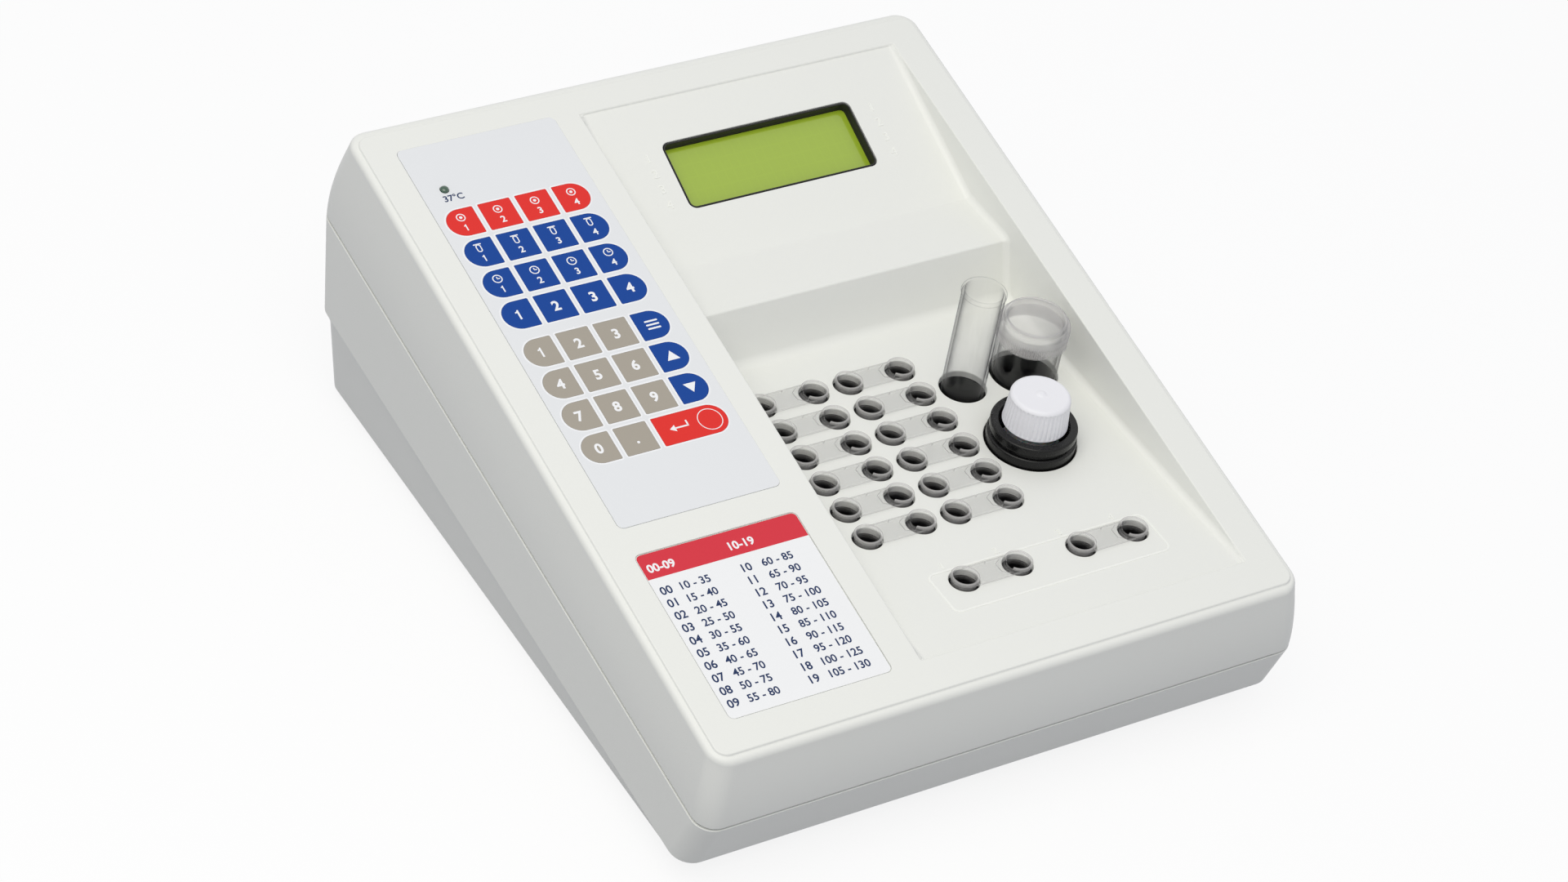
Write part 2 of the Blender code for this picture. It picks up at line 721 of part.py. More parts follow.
def filleted(corners):
    """Replace each inner corner of a chain by an arc of equally many points."""
    points = [Vector(corner[:2]) for corner in corners]
    chain = [points[0]]
    for i in range(1, len(points) - 1):
        before = (points[i - 1] - points[i]).normalized()
        after = (points[i + 1] - points[i]).normalized()
        half = before.angle(after) / 2
        radius = corners[i][2]
        reach = radius / tan(half)
        middle = points[i] + (before + after).normalized() * (radius / sin(half))
        start = points[i] + before * reach - middle
        end = points[i] + after * reach - middle
        sweep = pi - 2 * half
        for k in range(FILLET_STEPS + 1):
            share = k / FILLET_STEPS
            blend = start * sin((1 - share) * sweep) + end * sin(share * sweep)
            chain.append(middle + blend / sin(sweep))
    chain.append(points[-1])
    return chain


def recess_corners():
    """The recess seen from the side: front step, floor, drop wall, shelf, panel and back step."""
    height = RECESS_BACK * DECK_SLOPE
    return [
        (RECESS_FRONT, height, 0),
        (RECESS_FRONT, FLOOR_LEVEL, CREASE_FILLET),
        (DROP_FOOT, FLOOR_LEVEL, FOOT_FILLET),
        (DROP_EDGE, SHELF_LEVEL, EDGE_FILLET),
        (SHELF_BACK, SHELF_LEVEL, SHELF_FILLET),
        (RECESS_BACK, PANEL_TOP, CREASE_FILLET),
        (RECESS_BACK, PANEL_TOP + height, 0),
    ]


def trough(radius, grow, rise):
    """The recess as a solid with round lower edges, grown outward and closed along the deck."""
    rings = []
    left, right = RECESS_LEFT - grow, RECESS_RIGHT + grow
    steps = [i / FILLET_STEPS * pi / 2 for i in range(FILLET_STEPS + 1)]
    sides = [(left + radius * (1 - cos(a)), a) for a in steps]
    sides += [(right - radius * (1 - cos(a)), a) for a in reversed(steps)]
    for x, angle in sides:
        chain = filleted(offset_corners(recess_corners(), radius * (1 - sin(angle)) - grow))
        front, back = chain[0].x, chain[-1].x
        ends = [(back, back * DECK_SLOPE + rise), (front, front * DECK_SLOPE + rise)]
        points = [tuple(point) for point in chain[1:-1]] + ends
        rings.append([(x, y, z) for y, z in points])
    return loft(rings)


# Wells


def well_centres():
    """Every cup's place: six rows of two double cuvettes, then the two over the optics."""
    rows = [WELL_FIRST_Y + i * WELL_ROW_PITCH for i in range(WELL_ROWS)]
    starts = [(x, y) for y in rows for x in (WELL_LEFT_X, WELL_RIGHT_X)]
    return starts + [(OPTIC_LEFT_X, OPTIC_Y), (OPTIC_RIGHT_X, OPTIC_Y)]


def bores(radius, low, high, sides=WELL_SIDES):
    """A cutter for every cup's well."""
    centres = [(x + step, y) for x, y in well_centres() for step in (0, CUP_PITCH)]
    return [turned([(radius, low), (radius, high)], sides, centre) for centre in centres]


def post(x, y, radius, low, high, slope=0):
    """A round post whose upper end may follow the deck's slope."""
    angles = [2 * pi * i / POST_SIDES for i in range(POST_SIDES)]
    circle = [(x + radius * cos(a), y + radius * sin(a)) for a in angles]
    return loft([[(px, py, low) for px, py in circle], [(px, py, high + slope * py) for px, py in circle]])


def boss_places():
    fronts = [(side * BOSS_SIDE, BOSS_FRONT, BOSS_SPLIT_FRONT) for side in (-1, 1)]
    return fronts + [(side * BOSS_SIDE, BOSS_BACK, BOSS_SPLIT_BACK) for side in (-1, 1)]


# Key layout


def key_rows():
    """Rows from the top, each a list of (name, colour, column)."""
    upper = [("sensor", "red"), ("unit", "blue"), ("timer", "blue"), ("mode", "blue")]
    rows = [[(f"key_{word}_{i + 1}", look, i) for i in range(4)] for word, look in upper]
    for first, last in ((1, "menu"), (4, "up"), (7, "down")):
        digits = [(f"key_{first + i}", "grey", i) for i in range(3)]
        rows.append(digits + [("key_" + last, "blue", 3)])
    rows.append([("key_0", "grey", 0), ("key_point", "grey", 1), ("key_enter", "red", 2)])
    return rows


def key_places():
    """Each key's name, colour, centre across and along the deck, width and round side."""
    places = []
    for index, row in enumerate(key_rows()):
        start = KEY_TOP_ROW if index < 4 else KEY_LOWER_ROW
        s = start - (index % 4) * KEY_PITCH
        for name, look, column in row:
            x = KEY_FIRST_X + column * KEY_PITCH
            wide = name == "key_enter"
            width = KEY_WIDTH + KEY_PITCH if wide else KEY_WIDTH
            x += KEY_PITCH / 2 if wide else 0
            last = column == 3 or wide
            places.append((name, look, x, s, width, 1 if last else -1 if column == 0 else 0))
    return places


def key_outline(width, side, grow=0):
    """A key seen from above: square, or with one end a half circle."""
    half, depth = width / 2 + grow, KEY_DEPTH / 2 + grow
    if side == 0:
        return rounded_box(-half, half, -depth, depth, KEY_CORNER + grow, 1)
    angles = [pi * (i / ROUND_STEPS - 0.5) for i in range(ROUND_STEPS + 1)]
    arc = [(half - depth + depth * cos(a), depth * sin(a)) for a in angles]
    outline = arc + [(-half, depth), (-half, -depth)]
    return outline if side > 0 else [(-x, -y) for x, y in outline]


# Pieces


def top_cover():
    """The upper shell with its recess, wells, pockets and bosses."""
    shell = fused(cover_shell(), trough(RECESS_WALL, RECESS_WALL, -DECK_STEP))
    for x, y, split in boss_places():
        top = JOIN - TOP_WALL
        shell = fused(shell, post(x, y, COVER_BOSS_RADIUS, split + SEAT_GAP, top, DECK_SLOPE))
    shell = fused(shell, *[moved(boss, PANEL) for boss in display_bosses()])
    through = FLOOR_LEVEL - RECESS_WALL - OVERRUN
    holes = bores(WELL_RADIUS, through, FLOOR_LEVEL + OVERRUN)
    vessels = (
        (TUBE_X, TUBE_Y, TUBE_HOLE_RADIUS),
        (VIAL_X, VIAL_Y, VIAL_HOLE_RADIUS),
        (BOTTLE_X, BOTTLE_Y, BOTTLE_HOLE_RADIUS),
    )
    for x, y, radius in vessels:
        profile = [(radius, through), (radius, FLOOR_LEVEL + OVERRUN)]
        holes.append(turned(profile, VESSEL_SIDES, (x, y)))
    pilots = [
        post(x, y, PILOT_RADIUS, split - OVERRUN, split + PILOT_DEPTH) for x, y, split in boss_places()
    ]
    shell = cut(shell, trough(SIDE_FILLET, 0, OVERRUN), gathered(holes), gathered(pilots))
    return cut(shell, moved(screen_opening(), PANEL), moved(keypad_pocket(), DECK), moved(card_pocket(), DECK))


def display_bosses():
    """Four short bosses behind the panel for the display's board."""
    across = DISPLAY_BOARD_WIDTH / 2 - DISPLAY_BOSS_RADIUS
    along = DISPLAY_BOARD_HEIGHT / 2 - DISPLAY_BOSS_RADIUS
    low, high = SEAT_GAP - DISPLAY_BOARD_TOP, JOIN - RECESS_WALL
    return [
        post(SCREEN_X + i * across, j * along - SCREEN_DOWN, DISPLAY_BOSS_RADIUS, low, high)
        for i in (-1, 1)
        for j in (-1, 1)
    ]


def lining_outline(grow):
    width, height = SCREEN_WIDTH + 2 * grow, SCREEN_HEIGHT + 2 * grow
    return centred_box(SCREEN_X, -SCREEN_DOWN, width, height, SCREEN_CORNER + grow, FILLET_STEPS)


def screen_opening():
    outline = lining_outline(LINING_WALL + SEAT_GAP)
    return prism(outline, -RECESS_WALL - OVERRUN, OVERRUN)


def keypad_pocket():
    outline = rounded_box(
        KEYPAD_LEFT - SEAT_GAP,
        KEYPAD_RIGHT + SEAT_GAP,
        KEYPAD_START - SEAT_GAP,
        KEYPAD_END + SEAT_GAP,
        KEYPAD_CORNER + SEAT_GAP,
        FILLET_STEPS,
    )
    pocket = prism(outline, -KEYPAD_POCKET, OVERRUN)
    lamp = turned([(LAMP_HOLE_RADIUS, -TOP_WALL - OVERRUN), (LAMP_HOLE_RADIUS, 0)], POST_SIDES)
    return fused(pocket, shifted(lamp, LAMP_X, LAMP_S))


def card_pocket():
    outline = rounded_box(
        CARD_LEFT - SEAT_GAP,
        CARD_RIGHT + SEAT_GAP,
        CARD_START - SEAT_GAP,
        CARD_END + SEAT_GAP,
        CARD_CORNER + SEAT_GAP,
        FILLET_STEPS,
    )
    return prism(outline, -CARD_POCKET, OVERRUN)


def base_tray():
    """The lower shell with its pads, bosses, posts and the windows in its rear wall."""
    bottom = -BODY_HEIGHT
    tray = base_shell()
    foot = FLOOR_TOP - JOIN
    for x, y, split in boss_places():
        tray = fused(tray, post(x, y, BASE_BOSS_RADIUS, foot, split))
    for x, y in block_post_places():
        tray = fused(tray, post(x, y, BLOCK_POST_RADIUS, foot, BLOCK_BOTTOM - SEAT_GAP))
    for x, y in board_post_places():
        tray = fused(tray, post(x, y, BOARD_POST_RADIUS, foot, board_bottom() - SEAT_GAP))
    for x in (-PAD_SIDE, PAD_SIDE):
        for y in (PAD_FRONT, PAD_BACK):
            profile = [(PAD_RADIUS, bottom - PAD_HEIGHT), (PAD_RADIUS + JOIN, bottom + JOIN)]
            tray = fused(tray, turned(profile, VESSEL_SIDES, (x, y)))
    for x, y, split in boss_places():
        sink = post(x, y, COUNTERBORE_RADIUS, bottom - OVERRUN, split - BOSS_WEB)
        hole = post(x, y, SCREW_HOLE_RADIUS, bottom - OVERRUN, split + OVERRUN)
        tray = cut(tray, sink, hole)
    return cut(tray, moved(inlet_window(), REAR), socket_window())


def block_post_places():
    xs = (BLOCK_LEFT + BLOCK_POST_INSET, BLOCK_RIGHT - BLOCK_POST_INSET)
    ys = (BLOCK_FRONT + BLOCK_POST_INSET, BLOCK_BACK - BLOCK_POST_INSET)
    return [(x, y) for x in xs for y in ys]


def keypad_overlay():
    """The bonded film keypad: a thin plate with a shallow pocket for each key and a lamp hole."""
    outline = rounded_box(
        KEYPAD_LEFT, KEYPAD_RIGHT, KEYPAD_START, KEYPAD_END, KEYPAD_CORNER, FILLET_STEPS
    )
    plate = prism(outline, KEYPAD_BACK, KEYPAD_FACE)
    pockets = []
    for _, _, x, s, width, side in key_places():
        pocket = prism(key_outline(width, side, KEY_GAP), KEYPAD_FLOOR, KEYPAD_FACE + OVERRUN)
        pockets.append(shifted(pocket, x, s))
    lamp = [(LAMP_HOLE_RADIUS, KEYPAD_BACK - OVERRUN), (LAMP_HOLE_RADIUS, KEYPAD_FACE + OVERRUN)]
    pockets.append(shifted(turned(lamp, POST_SIDES), LAMP_X, LAMP_S))
    return cut(plate, gathered(pockets))


def test_card():
    outline = rounded_box(CARD_LEFT, CARD_RIGHT, CARD_START, CARD_END, CARD_CORNER, FILLET_STEPS)
    return prism(outline, -CARD_THICKNESS, 0)


def lcd_module():
    """A board, a metal bezel and a lining that reaches into the window around the glass."""
    across, along = DISPLAY_BOARD_WIDTH / 2, DISPLAY_BOARD_HEIGHT / 2
    board = block(
        SCREEN_X - across,
        SCREEN_X + across,
        -along - SCREEN_DOWN,
        along - SCREEN_DOWN,
        -DISPLAY_BOARD_TOP - BOARD_THICKNESS,
        -DISPLAY_BOARD_TOP,
    )
    outline = centred_box(
        SCREEN_X, -SCREEN_DOWN, BEZEL_WIDTH, BEZEL_HEIGHT, SCREEN_CORNER, FILLET_STEPS
    )
    bezel = prism(outline, -DISPLAY_BOARD_TOP - JOIN, -BEZEL_TOP)
    lining = prism(lining_outline(LINING_WALL), -BEZEL_TOP - JOIN, -LINING_TOP)
    module = fused(board, bezel, lining)
    return cut(module, prism(lining_outline(0), -SCREEN_DEPTH, OVERRUN))


def thermo_block():
    """The heated block: a blind bore for every vessel and light bores to the optic wells."""
    top = FLOOR_LEVEL - RECESS_WALL - SEAT_GAP
    body = block(BLOCK_LEFT, BLOCK_RIGHT, BLOCK_FRONT, BLOCK_BACK, BLOCK_BOTTOM, top)
    over = top + OVERRUN
    holes = bores(CUP_BORE_RADIUS, FLOOR_LEVEL - CUP_DEPTH - SEAT_GAP, over, CUP_SIDES)
    vessels = (
        (TUBE_X, TUBE_Y, TUBE_BORE_RADIUS, TUBE_TOP - TUBE_LENGTH),
        (VIAL_X, VIAL_Y, VIAL_BORE_RADIUS, VIAL_TOP - VIAL_LENGTH),
        (BOTTLE_X, BOTTLE_Y, ADAPTER_BORE_RADIUS, ADAPTER_BOTTOM),
    )
    for x, y, radius, low in vessels:
        holes.append(turned([(radius, low - SEAT_GAP), (radius, over)], VESSEL_SIDES, (x, y)))
    body = cut(body, gathered(holes))
    return cut(body, gathered(light_bores()))


def light_bores():
    """One level bore from the front face through each optic well."""
    turn = Matrix.Rotation(-pi / 2, 4, "X")
    height = FLOOR_LEVEL - CUP_DEPTH + LIGHT_BORE_HEIGHT
    bars = []
    for start in (OPTIC_LEFT_X, OPTIC_RIGHT_X):
        for x in (start, start + CUP_PITCH):
            profile = [(LIGHT_BORE_RADIUS, -OVERRUN), (LIGHT_BORE_RADIUS, LIGHT_BORE_DEPTH)]
            bar = moved(turned(profile, LIGHT_SIDES), turn)
            bars.append(shifted(bar, x, BLOCK_FRONT, height))
    return bars


# Main board


def board_bottom():
    return FLOOR_TOP + BOARD_UNDER_GAP


def board_post_places():
    xs = (BOARD_LEFT + BOARD_POST_INSET, BOARD_RIGHT - BOARD_POST_INSET)
    ys = (BOARD_FRONT + BOARD_POST_INSET, BOARD_BACK - BOARD_POST_INSET)
    return [(x, y) for x in xs for y in ys]


def socket_level():
    return board_bottom() + BOARD_THICKNESS + SOCKET_BODY_HEIGHT / 2


def plinth_face(level):
    """How far back the plinth's outer face lies at a height."""
    top_y = DECK_RUN + PLINTH_BACK
    top_z = top_y * tan(PLINTH_TILT) - PLINTH_DEPTH
    low_y = DECK_RUN + FOOT_BACK
    low_z = FOOT_ROUND - BODY_HEIGHT
    return mix(low_y, top_y, (level - low_z) / (top_z - low_z))


def socket_outline(grow):
    """The D shape of the data socket, wider at its top."""
    top, low = SOCKET_WIDTH / 2 + grow, SOCKET_WIDTH / 2 - SOCKET_TAPER + grow
    half = SOCKET_HEIGHT / 2 + grow
    return [(-low, -half), (low, -half), (top, half), (-top, half)]


def socket_bar(grow, front, back):
    """The socket's D drawn along y at its height."""
    rings = []
    for y in (front, back):
        rings.append([(SOCKET_X + x, y, socket_level() + z) for x, z in socket_outline(grow)])
    return loft(rings)


def socket_window():
    face = plinth_face(socket_level())
    return socket_bar(SOCKET_CLEARANCE, face - WALL - OVERRUN, face + OVERRUN)


def main_board():
    """The board with its supply module, processor, capacitors, header and data socket."""
    low, top = board_bottom(), board_bottom() + BOARD_THICKNESS
    board = block(BOARD_LEFT, BOARD_RIGHT, BOARD_FRONT, BOARD_BACK, low, top)
    seat = top - BOARD_THICKNESS / 2
    left, front = BOARD_LEFT + SUPPLY_INSET, BOARD_FRONT + SUPPLY_INSET
    right = left + SUPPLY_WIDTH
    back = front + SUPPLY_LENGTH
    parts = [block(left, right, front, back, seat, top + SUPPLY_HEIGHT)]
    left = right + COMPONENT_GAP
    parts.append(block(left, left + CHIP_SIDE, front, front + CHIP_SIDE, seat, top + CHIP_HEIGHT))
    y = front + CHIP_SIDE + COMPONENT_GAP + CAPACITOR_RADIUS
    profile = [(CAPACITOR_RADIUS, seat), (CAPACITOR_RADIUS, top + CAPACITOR_HEIGHT)]
    for i in range(2):
        x = left + CAPACITOR_RADIUS + i * (2 * CAPACITOR_RADIUS + COMPONENT_GAP)
        parts.append(turned(profile, POST_SIDES, (x, y)))
    left += CHIP_SIDE + COMPONENT_GAP
    header = (left, left + HEADER_LENGTH, front, front + HEADER_WIDTH, seat, top + HEADER_HEIGHT)
    parts.append(block(*header))
    board = fused(board, gathered(parts))
    return fused(board, *data_socket())


def data_socket():
    """Its body on the board's back edge, and the shell that reaches out through the wall."""
    face = plinth_face(socket_level())
    back = face - WALL - SEAT_GAP - SOCKET_CLEARANCE
    half = SOCKET_BODY_WIDTH / 2
    low = board_bottom() + BOARD_THICKNESS / 2
    high = socket_level() + SOCKET_BODY_HEIGHT / 2
    body = block(SOCKET_X - half, SOCKET_X + half, back - SOCKET_BODY_DEPTH, back, low, high)
    shell = socket_bar(0, back - JOIN, face + SOCKET_REACH)
    well = socket_bar(-SOCKET_CLEARANCE, face + SOCKET_REACH - SOCKET_WELL, face + OVERRUN)
    return body, cut(shell, well)


# Mains inlet and switch, in the frame of the rear wall, where x runs to the left


def inlet_window():
    width = INLET_BODY_WIDTH + 2 * INLET_CLEARANCE
    height = INLET_BODY_HEIGHT + 2 * INLET_CLEARANCE
    outline = centred_box(-INLET_X, -INLET_DROP, width, height, INLET_CLEARANCE, 1)
    return prism(outline, -WALL - TONGUE_WALL - OVERRUN, OVERRUN)


def power_entry():
    """Flange and body with the plug cavity, its three pins and the switch's window."""
    seat = SEAT_GAP
    flange = prism(
        centred_box(0, 0, INLET_FLANGE_WIDTH, INLET_FLANGE_HEIGHT, INLET_CORNER, FILLET_STEPS),
        seat,
        seat + INLET_FLANGE,
    )
    half_x, half_y = INLET_BODY_WIDTH / 2, INLET_BODY_HEIGHT / 2
    body = block(-half_x, half_x, -half_y, half_y, -INLET_BODY_DEPTH, seat + INLET_FLANGE / 2)
    entry = fused(flange, body)
    front = seat + INLET_FLANGE
    plug = prism(
        centred_box(-PLUG_OFFSET, 0, PLUG_WIDTH, PLUG_HEIGHT, PLUG_CORNER, 1),
        front - PLUG_DEPTH,
        front + OVERRUN,
    )
    window = prism(
        centred_box(ROCKER_OFFSET, 0, ROCKER_WINDOW_WIDTH, ROCKER_WINDOW_HEIGHT, INLET_CLEARANCE, 1),
        front - ROCKER_WINDOW_DEPTH,
        front + OVERRUN,
    )
    entry = cut(entry, plug, window)
    pins = []
    for x, y in ((-PIN_SPREAD, -PIN_DROP), (0, PIN_DROP), (PIN_SPREAD, -PIN_DROP)):
        x -= PLUG_OFFSET
        low = front - PLUG_DEPTH - JOIN
        half = PIN_THICKNESS / 2
        wide = PIN_WIDTH / 2
        pins.append(block(x - half, x + half, y - wide, y + wide, low, low + PIN_LENGTH))
    return fused(entry, gathered(pins))


def power_rocker():
    """A rocker with a dished face, drawn around its pivot."""
    half = ROCKER_LENGTH / 2
    top = ROCKER_PIVOT + ROCKER_RISE
    low = -ROCKER_FOOT
    foot = half - ROCKER_FOOT / 2
    side = [(-half, top), (0, top - ROCKER_DISH), (half, top), (foot, low), (-foot, low)]
    wide = ROCKER_WIDTH / 2
    return loft([[(x, y, z) for y, z in side] for x in (-wide, wide)])


def rocker_frame():
    """The pivot lies behind the flange's face; at rest the upper half is pressed in."""
    front = SEAT_GAP + INLET_FLANGE
    pivot = Matrix.Translation((ROCKER_OFFSET - INLET_X, -INLET_DROP, front - ROCKER_PIVOT))
    return REAR @ pivot @ Matrix.Rotation(-ROCKER_TILT, 4, "X")


# Cuvettes and vessels


def cuvette():
    """Two tapered cups on a common web, the right one open to a small tray."""
    web_outline = rounded_box(
        -CUP_WEB_HALF,
        CUP_PITCH + CUP_WEB_HALF,
        -CUP_WEB_HALF,
        CUP_WEB_HALF,
        CUP_WEB_HALF - CUP_WALL,
        2,
    )
    body = prism(web_outline, CUP_WEB_BOTTOM, CUP_WEB_TOP)
    outer = [
        (CUP_BOTTOM_RADIUS, -CUP_DEPTH),
        (CUP_TOP_RADIUS, CUP_WEB_BOTTOM + JOIN / 2),
        (CUP_RIM_RADIUS, CUP_WEB_TOP - JOIN / 2),
        (CUP_RIM_RADIUS, CUP_RIM_HEIGHT),
    ]
    inner = [
        (CUP_BOTTOM_RADIUS - CUP_WALL, CUP_FLOOR - CUP_DEPTH),
        (CUP_TOP_RADIUS - CUP_WALL, CUP_RIM_HEIGHT + OVERRUN),
    ]
    for x in (0, CUP_PITCH):
        body = fused(body, turned(outer, CUP_SIDES, (x, 0)))
    tray = [
        (CUP_PITCH - CUP_TRAY_FAR, CUP_TRAY_NOSE),
        (CUP_PITCH - CUP_TRAY_FAR, -CUP_TRAY_NOSE),
        (CUP_PITCH - CUP_RIM_RADIUS, -CUP_TRAY_HALF),
        (CUP_PITCH - CUP_TRAY_NEAR, -CUP_NOTCH_WIDTH / 2),
        (CUP_PITCH - CUP_TRAY_NEAR, CUP_NOTCH_WIDTH / 2),
        (CUP_PITCH - CUP_RIM_RADIUS, CUP_TRAY_HALF),
    ]
    cavities = [turned(inner, CUP_SIDES, (x, 0)) for x in (0, CUP_PITCH)]
    recess = prism(tray, CUP_WEB_TOP - CUP_TRAY_DEPTH, CUP_RIM_HEIGHT + OVERRUN)
    return cut(body, gathered(cavities), recess)


def quarter_arc(radius, centre_z, steps, lowest):
    """(radius, height) pairs up a round bottom, from a small flat to the full radius."""
    start = lowest * pi / 2
    angles = [start + (pi / 2 - start) * i / steps for i in range(steps + 1)]
    return [(radius * sin(a), centre_z - radius * cos(a)) for a in angles]


def sample_tube():
    centre = TUBE_TOP - TUBE_LENGTH + TUBE_RADIUS
    neck = TUBE_TOP - TUBE_RIM_HEIGHT
    outer = quarter_arc(TUBE_RADIUS, centre, FILLET_STEPS, TUBE_FLAT_SHARE)
    inner = quarter_arc(TUBE_RADIUS - TUBE_WALL, centre, FILLET_STEPS, TUBE_FLAT_SHARE)
    rim = [
        (TUBE_RADIUS, neck),
        (TUBE_RIM_RADIUS, neck + TUBE_RIM_HEIGHT / 3),
        (TUBE_RIM_RADIUS, TUBE_TOP - TUBE_RIM_HEIGHT / 3),
        (TUBE_RADIUS, TUBE_TOP),
        (TUBE_RADIUS - TUBE_WALL, TUBE_TOP - TUBE_RIM_HEIGHT / 3),
    ]
    return turned(outer + rim + inner[::-1], VESSEL_SIDES)


def reagent_vial():
    low = VIAL_TOP - VIAL_LENGTH
    inside = VIAL_RADIUS - VIAL_WALL
    profile = [
        (VIAL_RADIUS - VIAL_CHAMFER, low),
        (VIAL_RADIUS, low + VIAL_CHAMFER),
        (VIAL_RADIUS, VIAL_TOP),
        (inside, VIAL_TOP),
        (inside, low + VIAL_CHAMFER + VIAL_WALL),
        (inside - VIAL_CHAMFER, low + VIAL_WALL),
    ]
    return turned(profile, VESSEL_SIDES)


def vial_lid():
    """A snap lid with a dished top, drawn from the vial's rim upward."""
    inside = VIAL_RADIUS + LID_CLEARANCE
    ring_inner = LID_RING_RADIUS - LID_RING_WIDTH
    profile = [
        (inside, SEAT_GAP),
        (inside, -LID_SKIRT),
        (LID_RADIUS, -LID_SKIRT),
        (LID_RADIUS, LID_TOP - LID_SHOULDER),
        (LID_RING_RADIUS + LID_CLEARANCE, LID_TOP),
        (ring_inner, LID_TOP),
        (ring_inner - LID_CLEARANCE, LID_TOP - LID_DISH),
    ]
    return turned(profile, VESSEL_SIDES)


def bottle_adapter():
    """A sleeve with a floor, and two proud rings above the recess floor."""
    inside = BOTTLE_RADIUS + BOTTLE_CLEARANCE
    bevel = ADAPTER_CHAMFER
    profile = [
        (ADAPTER_SLEEVE_RADIUS, ADAPTER_BOTTOM),
        (ADAPTER_SLEEVE_RADIUS, ADAPTER_RING_BOTTOM),
        (ADAPTER_RING_RADIUS, ADAPTER_RING_BOTTOM + bevel),
        (ADAPTER_RING_RADIUS, ADAPTER_RING_TOP - bevel),
        (ADAPTER_GROOVE_RADIUS, ADAPTER_RING_TOP),
        (ADAPTER_GROOVE_RADIUS, ADAPTER_RIM_BOTTOM),
        (ADAPTER_RIM_RADIUS, ADAPTER_RIM_BOTTOM + bevel),
        (ADAPTER_RIM_RADIUS, ADAPTER_TOP - bevel),
        (ADAPTER_RIM_RADIUS - bevel, ADAPTER_TOP),
        (inside, ADAPTER_TOP - bevel),
        (inside, ADAPTER_BOTTOM + ADAPTER_FLOOR),
    ]
    return turned(profile, VESSEL_SIDES)


def reagent_bottle():
    low = ADAPTER_BOTTOM + ADAPTER_FLOOR + SEAT_GAP
    inside, bore = BOTTLE_RADIUS - BOTTLE_WALL, BOTTLE_NECK_RADIUS - BOTTLE_WALL
    profile = [
        (inside, low),
        (BOTTLE_RADIUS, low + BOTTLE_WALL),
        (BOTTLE_RADIUS, BOTTLE_SHOULDER),
        (BOTTLE_NECK_RADIUS, BOTTLE_NECK_START),
        (BOTTLE_NECK_RADIUS, BOTTLE_TOP),
        (bore, BOTTLE_TOP),
        (bore, BOTTLE_NECK_START - BOTTLE_WALL),
        (inside, BOTTLE_SHOULDER - BOTTLE_WALL),
        (inside, low + 2 * BOTTLE_WALL),
        (inside - BOTTLE_WALL, low + BOTTLE_WALL),
    ]
    return turned(profile, VESSEL_SIDES)


def bottle_cap():
    """A ribbed screw cap with a small nub in the middle of its top."""
    count = 2 * CAP_RIBS
    inside = BOTTLE_NECK_RADIUS + CAP_THREAD_GAP
    profile = [
        (inside, BOTTLE_TOP + SEAT_GAP, 0),
        (inside, CAP_BOTTOM, 0),
        (CAP_BOTTOM_RADIUS, CAP_BOTTOM, CAP_RIB_DEPTH),
        (CAP_TOP_RADIUS, CAP_TOP - CAP_EDGE, CAP_RIB_DEPTH),
        (CAP_TOP_RADIUS - CAP_EDGE, CAP_TOP, 0),
        (CAP_NUB_RADIUS, CAP_TOP, 0),
        (CAP_NUB_RADIUS, CAP_TOP + CAP_NUB_HEIGHT, 0),
    ]
    rings = []
    for radius, z, rib in profile:
        radii = [radius - rib * (i % 2) for i in range(count)]
        turns = [(r, pi * i / CAP_RIBS) for i, r in enumerate(radii)]
        rings.append([(r * cos(a), r * sin(a), z) for r, a in turns])
    return loft(rings)


# Assembly


def place_housing():
    place("top_cover", top_cover(), LEVEL, housing_plastic())
    place("base_tray", base_tray(), LEVEL, housing_plastic())
    place("thermo_block", thermo_block(), LEVEL, material("black_aluminium", "#1C1C1E", 0.4, 0.6))
    place("main_board", main_board(), LEVEL, material("circuit_board", "#1F5C37", 0.5))
    place("lcd_module", lcd_module(), PANEL, material("display_glass", "#9FBA48", 0.2))
    place("test_list_card", test_card(), DECK, material("printed_card", "#F2F3F5", 0.55))


def place_keypad():
    place("keypad_overlay", keypad_overlay(), DECK, keypad_film())
    for name, look, x, s, width, side in key_places():
        frame = DECK @ Matrix.Translation((x, s, 0))
        place(name, prism(key_outline(width, side), KEY_BOTTOM, KEY_TOP), frame, key_look(look))


def place_power():
    entry = REAR @ Matrix.Translation((-INLET_X, -INLET_DROP, 0))
    place("power_entry", power_entry(), entry, black_plastic())
    place("power_rocker", power_rocker(), rocker_frame(), material("switch_red", "#B3221E", 0.35))


def place_cuvettes():
    shape = cuvette()
    names = [f"cuvette_{side}_{row + 1}" for row in range(WELL_ROWS) for side in ("left", "right")]
    names += ["cuvette_optic_left", "cuvette_optic_right"]
    for name, (x, y) in zip(names, well_centres()):
        place(name, shape.copy(), Matrix.Translation((x, y, FLOOR_LEVEL)), clear_plastic())


def place_vessels():
    bottle = Matrix.Translation((BOTTLE_X, BOTTLE_Y, 0))
    place("sample_tube", sample_tube(), Matrix.Translation((TUBE_X, TUBE_Y, 0)), clear_plastic())
    place("reagent_vial", reagent_vial(), Matrix.Translation((VIAL_X, VIAL_Y, 0)), clear_plastic())
    lid = Matrix.Translation((VIAL_X, VIAL_Y, VIAL_TOP))
    place("vial_lid", vial_lid(), lid, clear_plastic())
    place("bottle_adapter", bottle_adapter(), bottle, black_plastic())
    place("reagent_bottle", reagent_bottle(), bottle, material("bottle_plastic", "#E9EAEA", 0.3))
    place("bottle_cap", bottle_cap(), bottle, material("cap_plastic", "#F1F1F3", 0.4))


